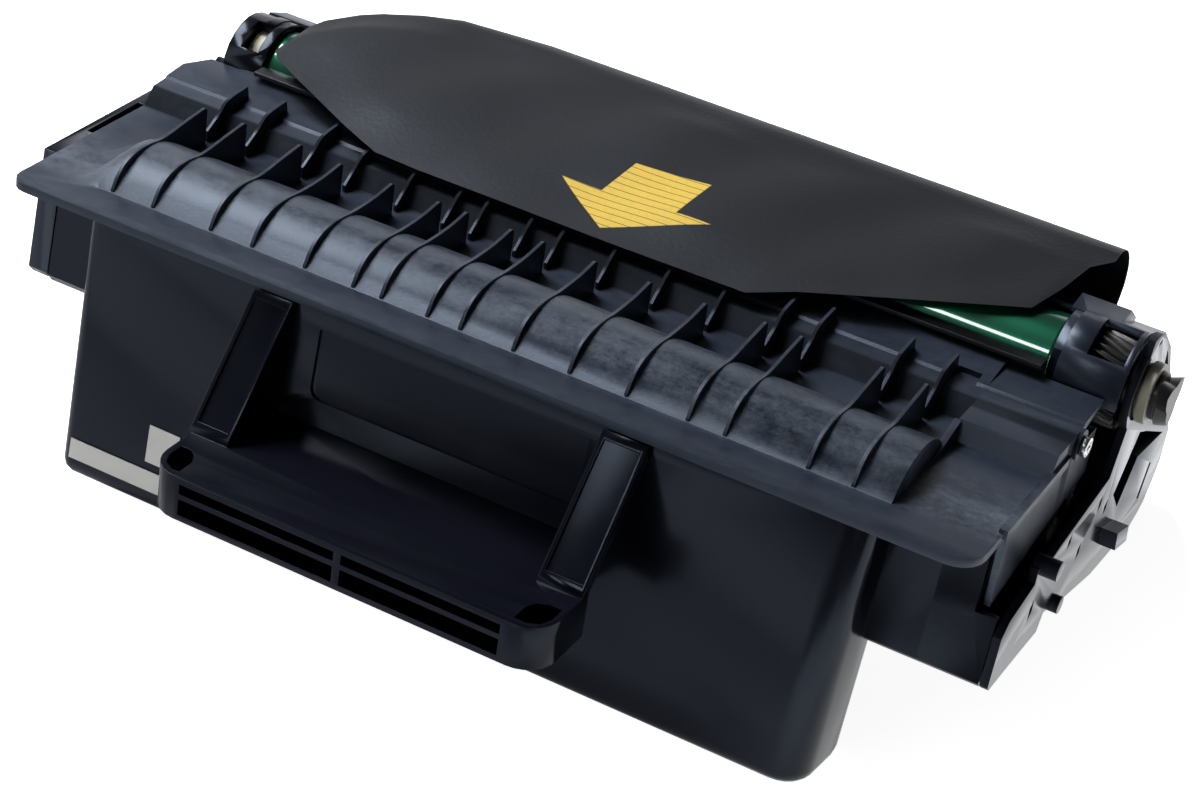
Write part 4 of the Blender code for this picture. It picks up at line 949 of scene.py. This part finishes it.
# %% Film piece
film_mesh.materials.append(film.material)
film_mesh.materials.append(shade_plastic.material)
film_piece = new_object("light_shield_film", film_mesh)
wall = film_piece.modifiers.new("film thickness", "SOLIDIFY")
wall.thickness = 0.14 * MM
wall.offset = 0.0
# The film's cut edge takes the dark shade plastic: painted shade that keeps a bright line off its
# edge.
wall.material_offset_rim = 1
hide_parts("protective_sheet")
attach(film_piece, BODY_OF["protective_sheet"])

# %% [markdown]
# ## Studio floor
#
# The photograph is a catalogue shot on pure white. Turning up the lamps until
# the floor burns out would wash the black plastic grey. So the floor glows
# evenly for the camera, and for glossy and transmission rays it is a painted
# reflection: a darker floor with a glow that is dark on the left and bright on
# the right, as if a white panel stood there beside the end cover.

# %% Floor
FLOOR_REACH = 4.0
FLOOR_DROP = 0.2 * MM
floor_mesh = bpy.data.meshes.new("studio_floor")
floor_mesh.from_pydata([(x * FLOOR_REACH, y * FLOOR_REACH, -FLOOR_DROP)
                        for x, y in ((-1, -1), (1, -1), (1, 1), (-1, 1))], [], [(0, 1, 2, 3)])
floor = new_object("studio_floor", floor_mesh)
pale = Finish("pale_floor", (0.82, 0.82, 0.82), 0.9, Specular_IOR_Level=0.1, Emission_Strength=1.0)
to_camera, to_gloss, to_glass = [pale.add("ShaderNodeLightPath", out=ray) for ray in
                                 ("Is Camera Ray", "Is Glossy Ray", "Is Transmission Ray")]
# Painted reflection: glossy rays see a darker floor, and a glow that is dark on the left and bright
# on the right.
pale.set("Base Color", pale.mix(to_gloss, (0.82, 0.82, 0.82), (0.52, 0.53, 0.56)))
reflected_glow = pale.ramp(pale.axis("X") * 1.25 + 0.5, (0.30, 0.02), (0.58, 0.22), (0.68, 1.0))
pale.set("Emission Color", pale.mix(to_camera, reflected_glow * (to_gloss + to_glass), (0.93, 0.93, 0.93)))
floor_mesh.materials.append(pale.material)
print("floor", FLOOR_REACH * 2, "m wide")

# %% [markdown]
# ## Sky
#
# A plain white world would put a grey veil over every black face. Going by
# what the plastic mirrors in the photograph, its room was pale near the ground
# and dark above, and paler on the left. Two ramps along the sky's height and
# width, multiplied together, say just that.

# %% Sky that is pale low down and on the left
world = bpy.data.worlds.new("studio_world")
bpy.context.scene.world = world
world.use_nodes = True
sky = world.node_tree
heading = add_node(sky, "ShaderNodeTexCoord", out="Generated")


def sky_fade(letter, *stops):
    """Grey along one direction of the sky, from one side to the other."""
    reach = add_node(sky, "ShaderNodeSeparateXYZ", None, {"Vector": heading}, letter)
    return add_node(sky, "ShaderNodeValToRGB", {"stops": stops}, {"Fac": reach * 0.5 + 0.5})


glow = sky_fade("Z", (0.59, 0.95), (0.72, 0.06)) * sky_fade("X", (0.42, 1.0), (0.56, 0.12))
sky.links.new(glow.socket, sky.nodes["Background"].inputs["Color"])
print("sky nodes", len(sky.nodes))

# %% [markdown]
# ## Lamps
#
# A large soft box high on the left draws the long sheen on the dome, and
# another, further back, throws the fins' shadows forwards. A faint one in
# front lights the paper labels. Two strips show in gloss alone: one is the
# white streak on the drum, the other an edge of light on the end cover. One
# big lamp could not do all this, because on black plastic a lamp matters
# mostly by its reflection, and each face mirrors another part of the room.

# %% Soft boxes: name, place, size, watts, and what each one reaches
AIM = Vector((0.0, 0.0, 0.05))
LAMPS = [
    ("key_box", (-0.88, 0.22, 1.20), (0.8, 0.8), 25.0, "gloss"),
    ("back_box", (-0.85, 0.85, 1.25), (0.6, 0.6), 42.0, "matt"),
    ("front_fill", (-0.60, -1.60, 0.50), (0.6, 0.6), 6.0, "matt"),
    ("low_strip", (-0.24, -0.88, 1.25), (0.36, 0.20), 1.6, "gloss"),
    ("rim_strip", (0.85, -0.80, 0.62), (0.10, 0.40), 1.2, "gloss"),
]
for name, place, size, power, reaches in LAMPS:
    lamp = bpy.data.lights.new(name, "AREA")
    lamp.shape = "RECTANGLE"
    lamp.size, lamp.size_y = size
    lamp.energy = power
    box = new_object(name, lamp)
    box.location = place
    box.rotation_euler = (AIM - Vector(place)).to_track_quat("-Z", "Y").to_euler()
    box.visible_diffuse = reaches == "matt"
    box.visible_glossy = reaches == "gloss"
bpy.context.scene.view_settings.view_transform = "Standard"
print("lamps", len(LAMPS))
